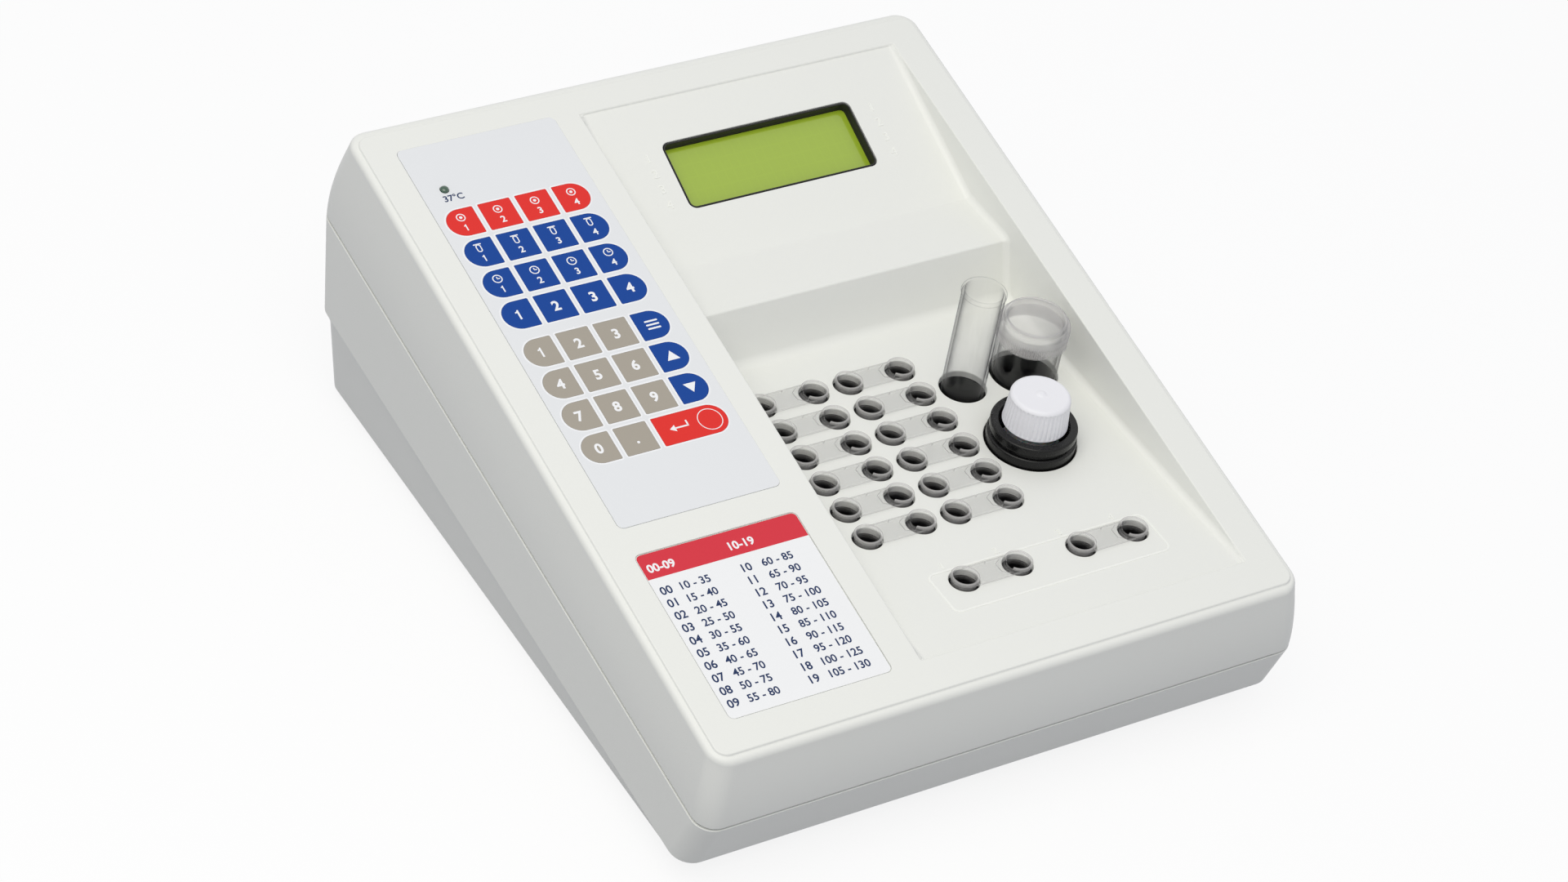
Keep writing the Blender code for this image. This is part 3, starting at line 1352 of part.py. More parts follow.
def clear_scene():
    for thing in list(bpy.data.objects):
        bpy.data.objects.remove(thing)


def main():
    clear_scene()
    place_housing()
    place_keypad()
    place_power()
    place_cuvettes()
    place_vessels()


main()
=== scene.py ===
"""Dresses the coagulation analyzer: housing, keypad, display, wells, vessels and a studio.

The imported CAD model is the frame. The file is laid out as an add-on with one operator for each
piece or group of like pieces, and runs as a script. Lengths are metres. The body frame has x to
the right, y to the back from the front edge of the deck and z up from that edge; the deck, the
display panel and the rear wall have frames of their own, with z along the outward normal.
"""

from math import atan2, cos, pi, radians, sin, tan

import bmesh
import bpy
from bpy.props import FloatProperty, FloatVectorProperty, IntProperty, PointerProperty
from mathutils import Matrix, Vector


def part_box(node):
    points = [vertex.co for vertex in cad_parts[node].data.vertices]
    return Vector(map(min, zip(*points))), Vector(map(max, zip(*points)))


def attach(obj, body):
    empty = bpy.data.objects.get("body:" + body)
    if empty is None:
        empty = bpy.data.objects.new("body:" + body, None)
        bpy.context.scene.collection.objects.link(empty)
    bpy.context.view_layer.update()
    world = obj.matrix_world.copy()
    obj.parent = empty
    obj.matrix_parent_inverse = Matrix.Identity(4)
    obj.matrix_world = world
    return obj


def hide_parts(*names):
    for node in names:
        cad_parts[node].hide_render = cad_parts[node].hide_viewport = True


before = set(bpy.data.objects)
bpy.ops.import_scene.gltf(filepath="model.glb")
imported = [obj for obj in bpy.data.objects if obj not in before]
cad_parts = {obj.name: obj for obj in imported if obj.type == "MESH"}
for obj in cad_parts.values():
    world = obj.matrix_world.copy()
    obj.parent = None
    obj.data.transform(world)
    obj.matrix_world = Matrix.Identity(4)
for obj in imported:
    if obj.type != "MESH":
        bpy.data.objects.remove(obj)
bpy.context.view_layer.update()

bl_info = {
    "name": "Coagulation analyzer",
    "version": (1, 0, 0),
    "blender": (4, 5, 0),
    "location": "3D View > Sidebar > Analyzer",
    "description": "Builds a benchtop coagulation analyzer with its cuvettes and vessels",
    "category": "Object",
}

# Housing, as outsets from the edge of the deck at the sides, the front and the back

DECK_WIDTH = 0.2250
DECK_RUN = 0.2670
DECK_SLOPE = tan(radians(10.53))
DECK_CORNER = 0.0045
DECK_STEP = 0.0009
LEDGE = 0.0006
SHOULDER = (0.0025, 0.0026, 0.0044)
SHOULDER_DROP = 0.0033
WALL_CORNER = 0.0077
LIP = (0.0049, 0.0053, 0.0109)
LIP_DEPTH = 0.0270
LIP_SLOPE = tan(radians(8.48))
LIP_ROUND = 0.0004
PARTING_GAP = 0.0008
RIM_INSET = (-0.0002, 0.0001, 0.0003)
RIM_ROUND = 0.00025
BAND = (0.0058, -0.00165, 0.0038)
BAND_DEPTH = 0.0497
BAND_SLOPE = tan(radians(5.68))
PLINTH = (0.0039, -0.0030, 0.0020)
PLINTH_DEPTH = 0.0501
PLINTH_SLOPE = tan(radians(4.94))
PLINTH_CORNER = 0.0070
FOOT = (0.0002, -0.0086, 0.0002)
FOOT_CORNER = 0.0065
FOOT_ROUND = 0.0016
BODY_HEIGHT = 0.0586
WALL = 0.0026
TOP_WALL = 0.0028
FLOOR_TOP = 0.0030 - BODY_HEIGHT
PAD_HEIGHT = 0.0020
PAD_PLACES = [(x, y) for x in (-0.0920, 0.0920) for y in (0.0300, 0.2450)]
SEAT_GAP = 0.0003
OVERRUN = 0.0020
OVERLAP = 0.0008
SCREW_SINK = 0.0030
BOARD_THICKNESS = 0.0016
BOSS_PLACES = [(x, y, z) for x in (-0.1065, 0.1065) for y, z in ((0.0160, -0.0300), (0.2540, 0.0050))]

# Recess

RECESS = (-0.0302, 0.0997, 0.0124, 0.2563)
RECESS_WALL = 0.0025
RECESS_ROUND = 0.0025
FLOOR_LEVEL = 0.0012
DROP_FOOT = 0.1625
DROP_EDGE = 0.1696
SHELF_LEVEL = 0.02205
SHELF_BACK = 0.1947
PANEL_TOP = 0.04665
CUP_HOLE = 0.0054
VESSEL_HOLES = {"sample_tube": 0.0085, "reagent_vial": 0.0123, "bottle_adapter": 0.0163}
OPTIC_WELLS = ("cuvette_optic_left", "cuvette_optic_right")
KEYPAD_MIDDLE = -0.07075
PANEL_TILT = atan2(PANEL_TOP - SHELF_LEVEL, RECESS[3] - SHELF_BACK)

# Frames

MIDDLE_Y = (DECK_RUN + LIP[2] - LIP[1]) / 2
BODY = Matrix.Translation((0, -MIDDLE_Y, BODY_HEIGHT + PAD_HEIGHT))
DECK = BODY @ Matrix.Rotation(atan2(DECK_SLOPE, 1), 4, "X")
PANEL = BODY @ Matrix.Translation((0, RECESS[3], PANEL_TOP)) @ Matrix.Rotation(PANEL_TILT, 4, "X")
LIP_REAR = Vector((DECK_RUN + LIP[2], (DECK_RUN + LIP[2]) * LIP_SLOPE - LIP_DEPTH))
BAND_REAR = Vector((DECK_RUN + BAND[2], (DECK_RUN + BAND[2]) * BAND_SLOPE - BAND_DEPTH))
REAR_LEAN = atan2(LIP_REAR.x - BAND_REAR.x, LIP_REAR.y - BAND_REAR.y)
REAR = (
    BODY
    @ Matrix.Translation((0, *((LIP_REAR + BAND_REAR) / 2)))
    @ Matrix.Rotation(pi, 4, "Z")
    @ Matrix.Rotation(pi / 2 + REAR_LEAN, 4, "X")
)


# Building blocks


def arc(steps, start=0.0, end=pi / 2):
    return [start + (end - start) * i / steps for i in range(steps + 1)]


def mix(a, b, share):
    return a + (b - a) * share


def upper_round(reach, top, edge, steps=4):
    """(reach, height) pairs that round an upper outer edge, from its wall to its top."""
    return [(reach - edge * (1 - cos(a)), top - edge * (1 - sin(a))) for a in arc(steps)]


def lower_round(reach, foot, edge, steps=4):
    """(reach, height) pairs that round a lower outer edge, from its foot to its wall."""
    return [(reach - edge * (1 - sin(a)), foot + edge * (1 - cos(a))) for a in arc(steps)]


def loft(rings, closed=False):
    """Skin rings of equally many points; the ends get flat caps unless the rings close up."""
    bm = bmesh.new()
    loops = [[bm.verts.new(point) for point in ring] for ring in rings]
    pairs = list(zip(loops, loops[1:]))
    if closed:
        pairs.append((loops[-1], loops[0]))
    else:
        bm.faces.new(loops[0])
        bm.faces.new(loops[-1])
    for near, far in pairs:
        count = len(near)
        for i in range(count):
            j = (i + 1) % count
            bm.faces.new((near[i], near[j], far[j], far[i]))
    bmesh.ops.recalc_face_normals(bm, faces=bm.faces)
    if bm.calc_volume(signed=True) < 0:
        bmesh.ops.reverse_faces(bm, faces=bm.faces)
    mesh = bpy.data.meshes.new("shape")
    bm.to_mesh(mesh)
    bm.free()
    return mesh


def prism(outline, low, high):
    return loft([[(x, y, z) for x, y in outline] for z in (low, high)])


def circle(x, y, radius, sides, start=0.0):
    turns = [a + start for a in arc(sides, 0, 2 * pi)[:-1]]
    return [(x + radius * cos(a), y + radius * sin(a)) for a in turns]


def turned(profile, sides, closed=False):
    """Turn (radius, height) pairs around the vertical line through the origin."""
    rings = [[(x, y, z) for x, y in circle(0, 0, radius, sides, pi / sides)] for radius, z in profile]
    return loft(rings, closed)


def rounded_box(left, right, front, back, radius, steps=8):
    corners = (
        (right - radius, back - radius, 0),
        (left + radius, back - radius, 1),
        (left + radius, front + radius, 2),
        (right - radius, front + radius, 3),
    )
    shares = [i / steps for i in range(steps + 1)]
    turns = [(x, y, (quarter + share) * pi / 2) for x, y, quarter in corners for share in shares]
    return [(x + radius * cos(a), y + radius * sin(a)) for x, y, a in turns]


def box_outline(x, y, width, height, radius, steps=8):
    """An outline that can be asked for larger or smaller by a margin."""

    def outline(grow=0.0):
        reach_x, reach_y = width / 2 + grow, height / 2 + grow
        corner = max(radius + grow, 0.00002)
        return rounded_box(x - reach_x, x + reach_x, y - reach_y, y + reach_y, corner, steps)

    return outline


def outlined(outline, profile, closed=False):
    """Loft one outline through (margin, height) pairs."""
    return loft([[(x, y, z) for x, y in outline(grow)] for grow, z in profile], closed)


def soft_slab(outline, low, high, edge, foot=0.0):
    """A slab with its upper edge, and if asked its lower edge, rounded."""
    start = lower_round(0, low, foot, 3) if foot else [(0, low)]
    return outlined(outline, start + upper_round(0, high, edge))


def flat_ring(outline, inner, outer, low, high):
    """A closed band between two margins of one outline, round on its outer top edge."""
    edge = min((outer - inner) / 3, high - low)
    profile = [(inner, low), (inner, high - edge / 3), (inner + edge / 2, high)]
    profile += [(outer - edge / 2, high), (outer, high - edge / 3), (outer, low)]
    return outlined(outline, profile, closed=True)


def block(left, right, front, back, low, high):
    return prism([(left, front), (right, front), (right, back), (left, back)], low, high)


def moved(mesh, place):
    mesh.transform(place)
    return mesh


def shifted(mesh, x, y, z=0.0):
    return moved(mesh, Matrix.Translation((x, y, z)))


def painted(mesh, look):
    mesh.materials.clear()
    mesh.materials.append(look)
    return mesh


def gathered(meshes):
    """One mesh of several that keep their own materials."""
    looks = []
    bm = bmesh.new()
    for mesh in meshes:
        look = mesh.materials[0] if mesh.materials else None
        if look not in looks:
            looks.append(look)
        known = len(bm.faces)
        bm.from_mesh(mesh)
        bm.faces.ensure_lookup_table()
        for face in bm.faces[known:]:
            face.material_index = looks.index(look)
    whole = bpy.data.meshes.new("shape")
    bm.to_mesh(whole)
    bm.free()
    for look in looks:
        whole.materials.append(look)
    return whole


def modified(mesh, kind, **settings):
    """A copy of a mesh with one modifier applied."""
    holder = bpy.data.objects.new("holder", mesh)
    bpy.context.scene.collection.objects.link(holder)
    modifier = holder.modifiers.new(kind.lower(), kind)
    for name, value in settings.items():
        setattr(modifier, name, value)
    graph = bpy.context.evaluated_depsgraph_get()
    result = bpy.data.meshes.new_from_object(holder.evaluated_get(graph))
    bpy.data.objects.remove(holder)
    return result


def combined(mesh, others, operation):
    for other in others:
        tool = bpy.data.objects.new("tool", other)
        bpy.context.scene.collection.objects.link(tool)
        mesh = modified(mesh, "BOOLEAN", operation=operation, solver="EXACT", object=tool)
        bpy.data.objects.remove(tool)
    return mesh


def cut(mesh, *cutters):
    return combined(mesh, cutters, "DIFFERENCE")


def fused(mesh, *others):
    return combined(mesh, others, "UNION")


def bevelled(mesh, width, angle=40):
    """Break every edge sharper than an angle with a small round."""
    settings = {"width": width, "segments": 2, "limit_method": "ANGLE", "angle_limit": radians(angle)}
    return modified(mesh, "BEVEL", harden_normals=False, **settings)


def piece(name, mesh, body, stands_for=(), sharp=35):
    """Shade a mesh evenly and put it into the scene as a piece that rides on a body."""
    mesh.shade_smooth()
    mesh.set_sharp_from_angle(angle=radians(sharp))
    mesh = modified(mesh, "WEIGHTED_NORMAL", keep_sharp=True)
    mesh.name = name
    made = bpy.data.objects.new(name, mesh)
    bpy.context.scene.collection.objects.link(made)
    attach(made, body)
    if stands_for:
        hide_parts(*stands_for)
    return made


def figures(text, height, thickness, weight=0.012):
    """Digits or a sign of a given height, centred, as a thin closed slab from z = 0."""
    curve = bpy.data.curves.new("figures", "FONT")
    curve.body = text
    curve.offset = weight
    curve.extrude = 0.5
    curve.resolution_u = 4
    holder = bpy.data.objects.new("figures", curve)
    bpy.context.scene.collection.objects.link(holder)
    graph = bpy.context.evaluated_depsgraph_get()
    mesh = bpy.data.meshes.new_from_object(holder.evaluated_get(graph))
    bpy.data.objects.remove(holder)
    bm = bmesh.new()
    bm.from_mesh(mesh)
    bmesh.ops.remove_doubles(bm, verts=bm.verts, dist=0.0001)
    bm.to_mesh(mesh)
    bm.free()
    points = [v.co for v in mesh.vertices]
    low = [min(p[i] for p in points) for i in (0, 1)]
    high = [max(p[i] for p in points) for i in (0, 1)]
    scale = height / 0.73
    middle = Vector((-(low[0] + high[0]) / 2, -(low[1] + high[1]) / 2, 0.5))
    return moved(mesh, Matrix.Diagonal((scale, scale, thickness, 1)) @ Matrix.Translation(middle))


# Node trees that repeat or wave a shape


def add_node(tree, kind, inputs=None, **settings):
    """Add a node, set it up, and fill its inputs with values, nodes or other nodes' outputs."""
    made = tree.nodes.new(kind)
    for name, value in settings.items():
        setattr(made, name, value)
    for name, value in (inputs or {}).items():
        if isinstance(value, bpy.types.Node):
            value = value.outputs[0]
        if isinstance(value, bpy.types.NodeSocket):
            tree.links.new(value, made.inputs[name])
        else:
            made.inputs[name].default_value = value
    return made


def new_tree(name, sockets):
    """An empty geometry tree with named inputs, its input node, and one geometry output."""
    tree = bpy.data.node_groups.new(name, "GeometryNodeTree")
    for label, kind in sockets:
        tree.interface.new_socket(label, in_out="INPUT", socket_type=kind)
    tree.interface.new_socket("Result", in_out="OUTPUT", socket_type="NodeSocketGeometry")
    return tree, tree.nodes.new("NodeGroupInput").outputs


def close_tree(tree, geometry, look):
    real = add_node(tree, "GeometryNodeRealizeInstances", {"Geometry": geometry})
    finish = add_node(tree, "GeometryNodeSetMaterial", {"Geometry": real, "Material": look})
    add_node(tree, "NodeGroupOutput", {"Result": finish})
    return tree


def fluted_wall():
    """Waves the outside of a turned wall in and out between two heights, as moulded ribs do."""
    sockets = [
        ("Wall", "NodeSocketGeometry"),
        ("Ribs", "NodeSocketInt"),
        ("Depth", "NodeSocketFloat"),
        ("Inner radius", "NodeSocketFloat"),
        ("Low", "NodeSocketFloat"),
        ("High", "NodeSocketFloat"),
        ("Material", "NodeSocketMaterial"),
    ]
    tree, given = new_tree("fluted_wall", sockets)
    place = add_node(tree, "GeometryNodeInputPosition")
    parts = add_node(tree, "ShaderNodeSeparateXYZ", {0: place}).outputs
    flat = add_node(tree, "ShaderNodeCombineXYZ", {0: parts[0], 1: parts[1]})
    radius = add_node(tree, "ShaderNodeVectorMath", {0: flat}, operation="LENGTH").outputs["Value"]
    outward = add_node(tree, "ShaderNodeVectorMath", {0: flat}, operation="NORMALIZE")
    angle = add_node(tree, "ShaderNodeMath", {0: parts[1], 1: parts[0]}, operation="ARCTAN2")
    turns = add_node(tree, "ShaderNodeMath", {0: angle, 1: given["Ribs"]}, operation="MULTIPLY")
    half = add_node(tree, "ShaderNodeMath", {0: turns, 1: 0.5}, operation="MULTIPLY")
    wave = add_node(tree, "ShaderNodeMath", {0: half}, operation="SINE")
    groove = add_node(tree, "ShaderNodeMath", {0: wave}, operation="ABSOLUTE")
    groove = add_node(tree, "ShaderNodeMath", {0: 1.0, 1: groove}, operation="SUBTRACT")
    limits = (
        (parts[2], "Low", "GREATER_THAN"),
        (parts[2], "High", "LESS_THAN"),
        (radius, "Inner radius", "GREATER_THAN"),
    )
    factors = [given["Depth"]]
    for measure, limit, test in limits:
        factors.append(add_node(tree, "ShaderNodeMath", {0: measure, 1: given[limit]}, operation=test))
    for factor in factors:
        groove = add_node(tree, "ShaderNodeMath", {0: groove, 1: factor}, operation="MULTIPLY")
    inward = add_node(tree, "ShaderNodeMath", {0: groove, 1: -1.0}, operation="MULTIPLY")
    shift = add_node(tree, "ShaderNodeVectorMath", {0: outward, "Scale": inward}, operation="SCALE")
    wall = add_node(tree, "GeometryNodeSetPosition", {"Geometry": given["Wall"], "Offset": shift})
    return close_tree(tree, wall, given["Material"])


def copies_at_points():
    """Sets a copy of one piece on every point."""
    sockets = [
        ("Points", "NodeSocketGeometry"),
        ("Piece", "NodeSocketObject"),
        ("Turn", "NodeSocketFloat"),
        ("Material", "NodeSocketMaterial"),
    ]
    tree, given = new_tree("copies_at_points", sockets)
    source = add_node(tree, "GeometryNodeObjectInfo", {"Object": given["Piece"], "As Instance": True})
    order = add_node(tree, "GeometryNodeInputIndex")
    turn = add_node(tree, "ShaderNodeMath", {0: order, 1: given["Turn"]}, operation="MULTIPLY")
    facing = add_node(tree, "ShaderNodeCombineXYZ", {2: turn})
    inputs = {"Points": given["Points"], "Instance": source.outputs["Geometry"], "Rotation": facing}
    copies = add_node(tree, "GeometryNodeInstanceOnPoints", inputs)
    return close_tree(tree, copies, given["Material"])


def through_nodes(mesh, tree, **values):
    """A mesh run through a node tree whose inputs are given by name."""
    holder = bpy.data.objects.new("holder", mesh)
    modifier = holder.modifiers.new(tree.name, "NODES")
    modifier.node_group = tree
    for socket in tree.interface.items_tree:
        name = socket.name.replace(" ", "_").lower()
        if socket.in_out == "INPUT" and name in values:
            modifier[socket.identifier] = values[name]
    bpy.context.scene.collection.objects.link(holder)
    graph = bpy.context.evaluated_depsgraph_get()
    result = bpy.data.meshes.new_from_object(holder.evaluated_get(graph))
    holder.modifiers.remove(modifier)
    bpy.data.objects.remove(holder)
    return result


def repeated(mesh, points, look, turn=0.0):
    """One mesh with a copy of the given one on every point."""
    source = bpy.data.objects.new("source", mesh)
    bpy.context.scene.collection.objects.link(source)
    marks = bpy.data.meshes.new("marks")
    marks.from_pydata(points, [], [])
    result = through_nodes(marks, copies_at_points(), piece=source, turn=turn, material=look)
    bpy.data.objects.remove(source)
    return painted(result, look)


# Materials


def linear(code):
    """An sRGB hex colour as linear values."""
    parts = [int(code[i : i + 2], 16) / 255 for i in (1, 3, 5)]
    return [c / 12.92 if c <= 0.04045 else ((c + 0.055) / 1.055) ** 2.4 for c in parts] + [1.0]


def grained(name, colour, roughness, grain, relief, spread=0.03, gloss_spread=0.06, sockets=None):
    """A surface whose tone drifts slowly and whose gloss and relief follow a grain of real size."""
    made = bpy.data.materials.get(name)
    if made:
        return made
    made = bpy.data.materials.new(name)
    made.use_nodes = True
    tree = made.node_tree
    shader = tree.nodes["Principled BSDF"]
    for socket, value in (sockets or {}).items():
        shader.inputs[socket].default_value = value
    place = add_node(tree, "ShaderNodeTexCoord").outputs["Object"]
    slow = add_node(tree, "ShaderNodeTexNoise", {"Vector": place, "Scale": 22.0, "Detail": 3.0})
    fine = add_node(tree, "ShaderNodeTexNoise", {"Vector": place, "Scale": 1 / grain, "Detail": 2.0})
    darker = [c * (1 - spread) for c in colour[:3]] + [1.0]
    lighter = [min(c * (1 + spread), 1.0) for c in colour[:3]] + [1.0]
    tone = add_node(tree, "ShaderNodeMix", {0: slow, 6: darker, 7: lighter}, data_type="RGBA")
    limits = {"To Min": roughness - gloss_spread, "To Max": roughness + gloss_spread}
    gloss = add_node(tree, "ShaderNodeMapRange", {"Value": fine, **limits})
    bump = add_node(tree, "ShaderNodeBump", {"Height": fine, "Distance": relief})
    tree.links.new(tone.outputs[2], shader.inputs["Base Color"])
    tree.links.new(gloss.outputs[0], shader.inputs["Roughness"])
    tree.links.new(bump.outputs[0], shader.inputs["Normal"])
    return made


def moulded_housing():
    """Injection-moulded ABS with a fine spark-eroded texture: a soft satin sheen, no sharp glints."""
    colour = [*bpy.context.scene.analyzer_housing.plastic, 1.0]
    return grained("moulded_abs", colour, 0.44, 0.0005, 0.00003, spread=0.006)


def highlit_relief():
    """The same ABS on raised marks, a little smoother, with its colour lightened as a painted highlight.
    """
    # 8 % lighter than the housing's plastic: a painted highlight on the raised faces and edges.
    colour = [min(c * 1.08, 1.0) for c in bpy.context.scene.analyzer_housing.plastic] + [1.0]
    return grained("polished_abs", colour, 0.3, 0.0005, 0.00001, spread=0.006)


def polyester_film():
    """Hard-coated polyester over the keypad: smoother and a little glossier than the housing."""
    colour = [*bpy.context.scene.analyzer_keypad.film, 1.0]
    return grained("polyester_film", colour, 0.38, 0.0003, 0.00001, spread=0.006)


def screen_ink(name, colour):
    """Screen-printed ink under the film: even tone with a satin face."""
    return grained("ink_" + name, colour, 0.5, 0.0003, 0.00001, 0.02, 0.05, {"Specular IOR Level": 0.2})


def white_ink():
    return screen_ink("white", linear("#F4F5F7"))


def navy_ink():
    return screen_ink("navy", linear("#24365E"))


def printed_card():
    """Coated card under clear film: bright white, slightly glossy."""
    return grained("printed_card", linear("#F2F3F4"), 0.35, 0.0006, 0.00001, spread=0.008)


def clear_plastic(name, edge, edge_power, haze, haze_depth, top_haze, top_level):
    """Thin clear moulding: see-through, darker edge-on, hazy in places, with hardly any shadow."""
    if name in bpy.data.materials:
        return bpy.data.materials[name]
    sockets = {"Transmission Weight": 1.0, "IOR": 1.5}
    made = grained(name, linear("#FBFCFD"), 0.03, 0.004, 0.000006, 0.004, 0.01, sockets)
    tree = made.node_tree
    solid = tree.nodes["Principled BSDF"]
    slant = add_node(tree, "ShaderNodeLayerWeight", {"Blend": 0.5}).outputs["Facing"]
    rim = add_node(tree, "ShaderNodeMath", {0: slant, 1: edge_power}, operation="POWER")
    tones = {6: linear("#FEFEFE"), 7: linear(edge)}
    tint = add_node(tree, "ShaderNodeMix", {0: rim, **tones}, data_type="RGBA")
    through = add_node(tree, "ShaderNodeBsdfTransparent", {"Color": tint.outputs[2]})
    steep = add_node(tree, "ShaderNodeMath", {0: slant, 1: 5.0}, operation="POWER")
    share = add_node(tree, "ShaderNodeMath", {0: steep, 1: 0.7, 2: 0.02}, operation="MULTIPLY_ADD")
    gloss = add_node(tree, "ShaderNodeBsdfAnisotropic", {"Roughness": 0.06})
    thin = add_node(tree, "ShaderNodeMixShader", {0: share, 1: through, 2: gloss})
    milk = add_node(tree, "ShaderNodeBsdfDiffuse", {"Color": linear("#E9E7E5")})
    place = add_node(tree, "ShaderNodeTexCoord").outputs
    upward = add_node(tree, "ShaderNodeSeparateXYZ", {0: place["Normal"]}).outputs[2]
    flat = add_node(tree, "ShaderNodeMath", {0: upward}, operation="ABSOLUTE")
    steepness = add_node(tree, "ShaderNodeMath", {0: 1.0, 1: flat}, operation="SUBTRACT")
    height = add_node(tree, "ShaderNodeSeparateXYZ", {0: place["Object"]}).outputs[2]
    reach = {"Value": height, "From Min": top_level - haze_depth, "From Max": top_level, "To Max": haze}
    fade = add_node(tree, "ShaderNodeMapRange", reach)
    walls = add_node(tree, "ShaderNodeMath", {0: steepness, 1: fade}, operation="MULTIPLY")
    above = add_node(tree, "ShaderNodeMath", {0: height, 1: top_level}, operation="GREATER_THAN")
    top = add_node(tree, "ShaderNodeMath", {0: above, 1: top_haze}, operation="MULTIPLY")
    cloud = add_node(tree, "ShaderNodeMath", {0: walls, 1: top}, operation="MAXIMUM")
    hazy = add_node(tree, "ShaderNodeMixShader", {0: cloud, 1: thin, 2: milk})
    blend = add_node(tree, "ShaderNodeMixShader", {0: 0.015, 1: hazy, 2: solid})
    light = add_node(tree, "ShaderNodeLightPath").outputs["Is Shadow Ray"]
    passed = add_node(tree, "ShaderNodeMath", {0: light, 1: 0.85}, operation="MULTIPLY")
    open_way = add_node(tree, "ShaderNodeBsdfTransparent", {"Color": linear("#FCFCFD")})
    lit = add_node(tree, "ShaderNodeMixShader", {0: passed, 1: blend, 2: open_way})
    tree.links.new(lit.outputs[0], tree.nodes["Material Output"].inputs["Surface"])
    return made


def clear_polystyrene():
    """Thin moulded polystyrene of the cuvettes: nearly lost on the floor but for its edges."""
    rims = BODY.translation.z + FLOOR_LEVEL + 0.0020
    return clear_plastic("clear_polystyrene", "#3F3D44", 2.6, 0.3, 0.0055, 0.35, rims)


def tube_plastic():
    """Clear polystyrene of the tube and the vial: brighter glints and dark, faintly violet rims."""
    return clear_plastic("tube_polystyrene", "#33334E", 3.8, 0.0, 0.01, 0.0, 1.0)


def lid_plastic():
    """Clear polyethylene of the snap lid: hazier than the vial under it."""
    top = BODY.translation.z + vessel_centre("vial_lid").z - 0.0030
    return clear_plastic("lid_polyethylene", "#565678", 4.0, 0.42, 0.03, 0.3, top)


def anodised_block():
    """Machined aluminium, black anodised: dark, dull metal with a fine bead-blasted grain."""
    return grained("black_anodised_aluminium", linear("#17171A"), 0.5, 0.0004, 0.00002, 0.1, 0.08)


def black_moulding():
    """Black moulded plastic with a slight gloss that picks up long soft highlights."""
    sockets = {"Specular IOR Level": 0.3}
    return grained("black_moulding", linear("#070708"), 0.28, 0.0008, 0.00001, 0.15, 0.06, sockets)


def black_lining():
    """Matt black ABS round the display, kept dull so that it doesn't glare."""
    return grained("matt_black_abs", linear("#0C0C0D"), 0.6, 0.0004, 0.00002, 0.15)


def white_cap():
    """White polypropylene cap: waxy, with a broad soft sheen."""
    return grained("white_polypropylene", linear("#EEEEF2"), 0.42, 0.0007, 0.00002, 0.01, 0.05)


def bottle_plastic():
    """Natural polyethylene: milky and soft to the light."""
    sockets = {"Subsurface Weight": 0.4, "Subsurface Scale": 0.004}
    return grained("natural_polyethylene", linear("#E6E7E6"), 0.4, 0.001, 0.00002, 0.02, 0.05, sockets)


def pad_rubber():
    """Grey-black rubber pads: dull, with a fine pitted face."""
    return grained("pad_rubber", linear("#2A2A2C"), 0.8, 0.0005, 0.00005, 0.1)


def zinc_steel():
    """Zinc-plated screw steel: bright and slightly uneven."""
    sockets = {"Metallic": 1.0}
    return grained("zinc_plated_steel", linear("#C9CACC"), 0.32, 0.0006, 0.00002, 0.05, 0.1, sockets)


def nickel():
    """Nickel plate on pins and shells: a clean, warm metal."""
    sockets = {"Metallic": 1.0}
    return grained("nickel_plate", linear("#D2CFC6"), 0.22, 0.0008, 0.00001, 0.04, 0.06, sockets)


def solder_mask():
    """Green solder mask: glossy film with copper tracks just showing as relief."""
    return grained("solder_mask", linear("#1D5A36"), 0.3, 0.0015, 0.00006, 0.12, 0.08)


def rocker_plastic():
    """Red translucent polycarbonate of a lit rocker switch."""
    sockets = {"Transmission Weight": 0.15}
    return grained("red_polycarbonate", linear("#B0201C"), 0.18, 0.001, 0.00001, 0.05, 0.04, sockets)


def lamp_lens():
    """Dark green tinted lens of an unlit lamp, clear-coated so that it holds one highlight."""
    sockets = {"Coat Weight": 1.0, "Coat Roughness": 0.03}
    return grained("green_lens", linear("#1D4A33"), 0.2, 0.0005, 0.00001, 0.1, 0.04, sockets)


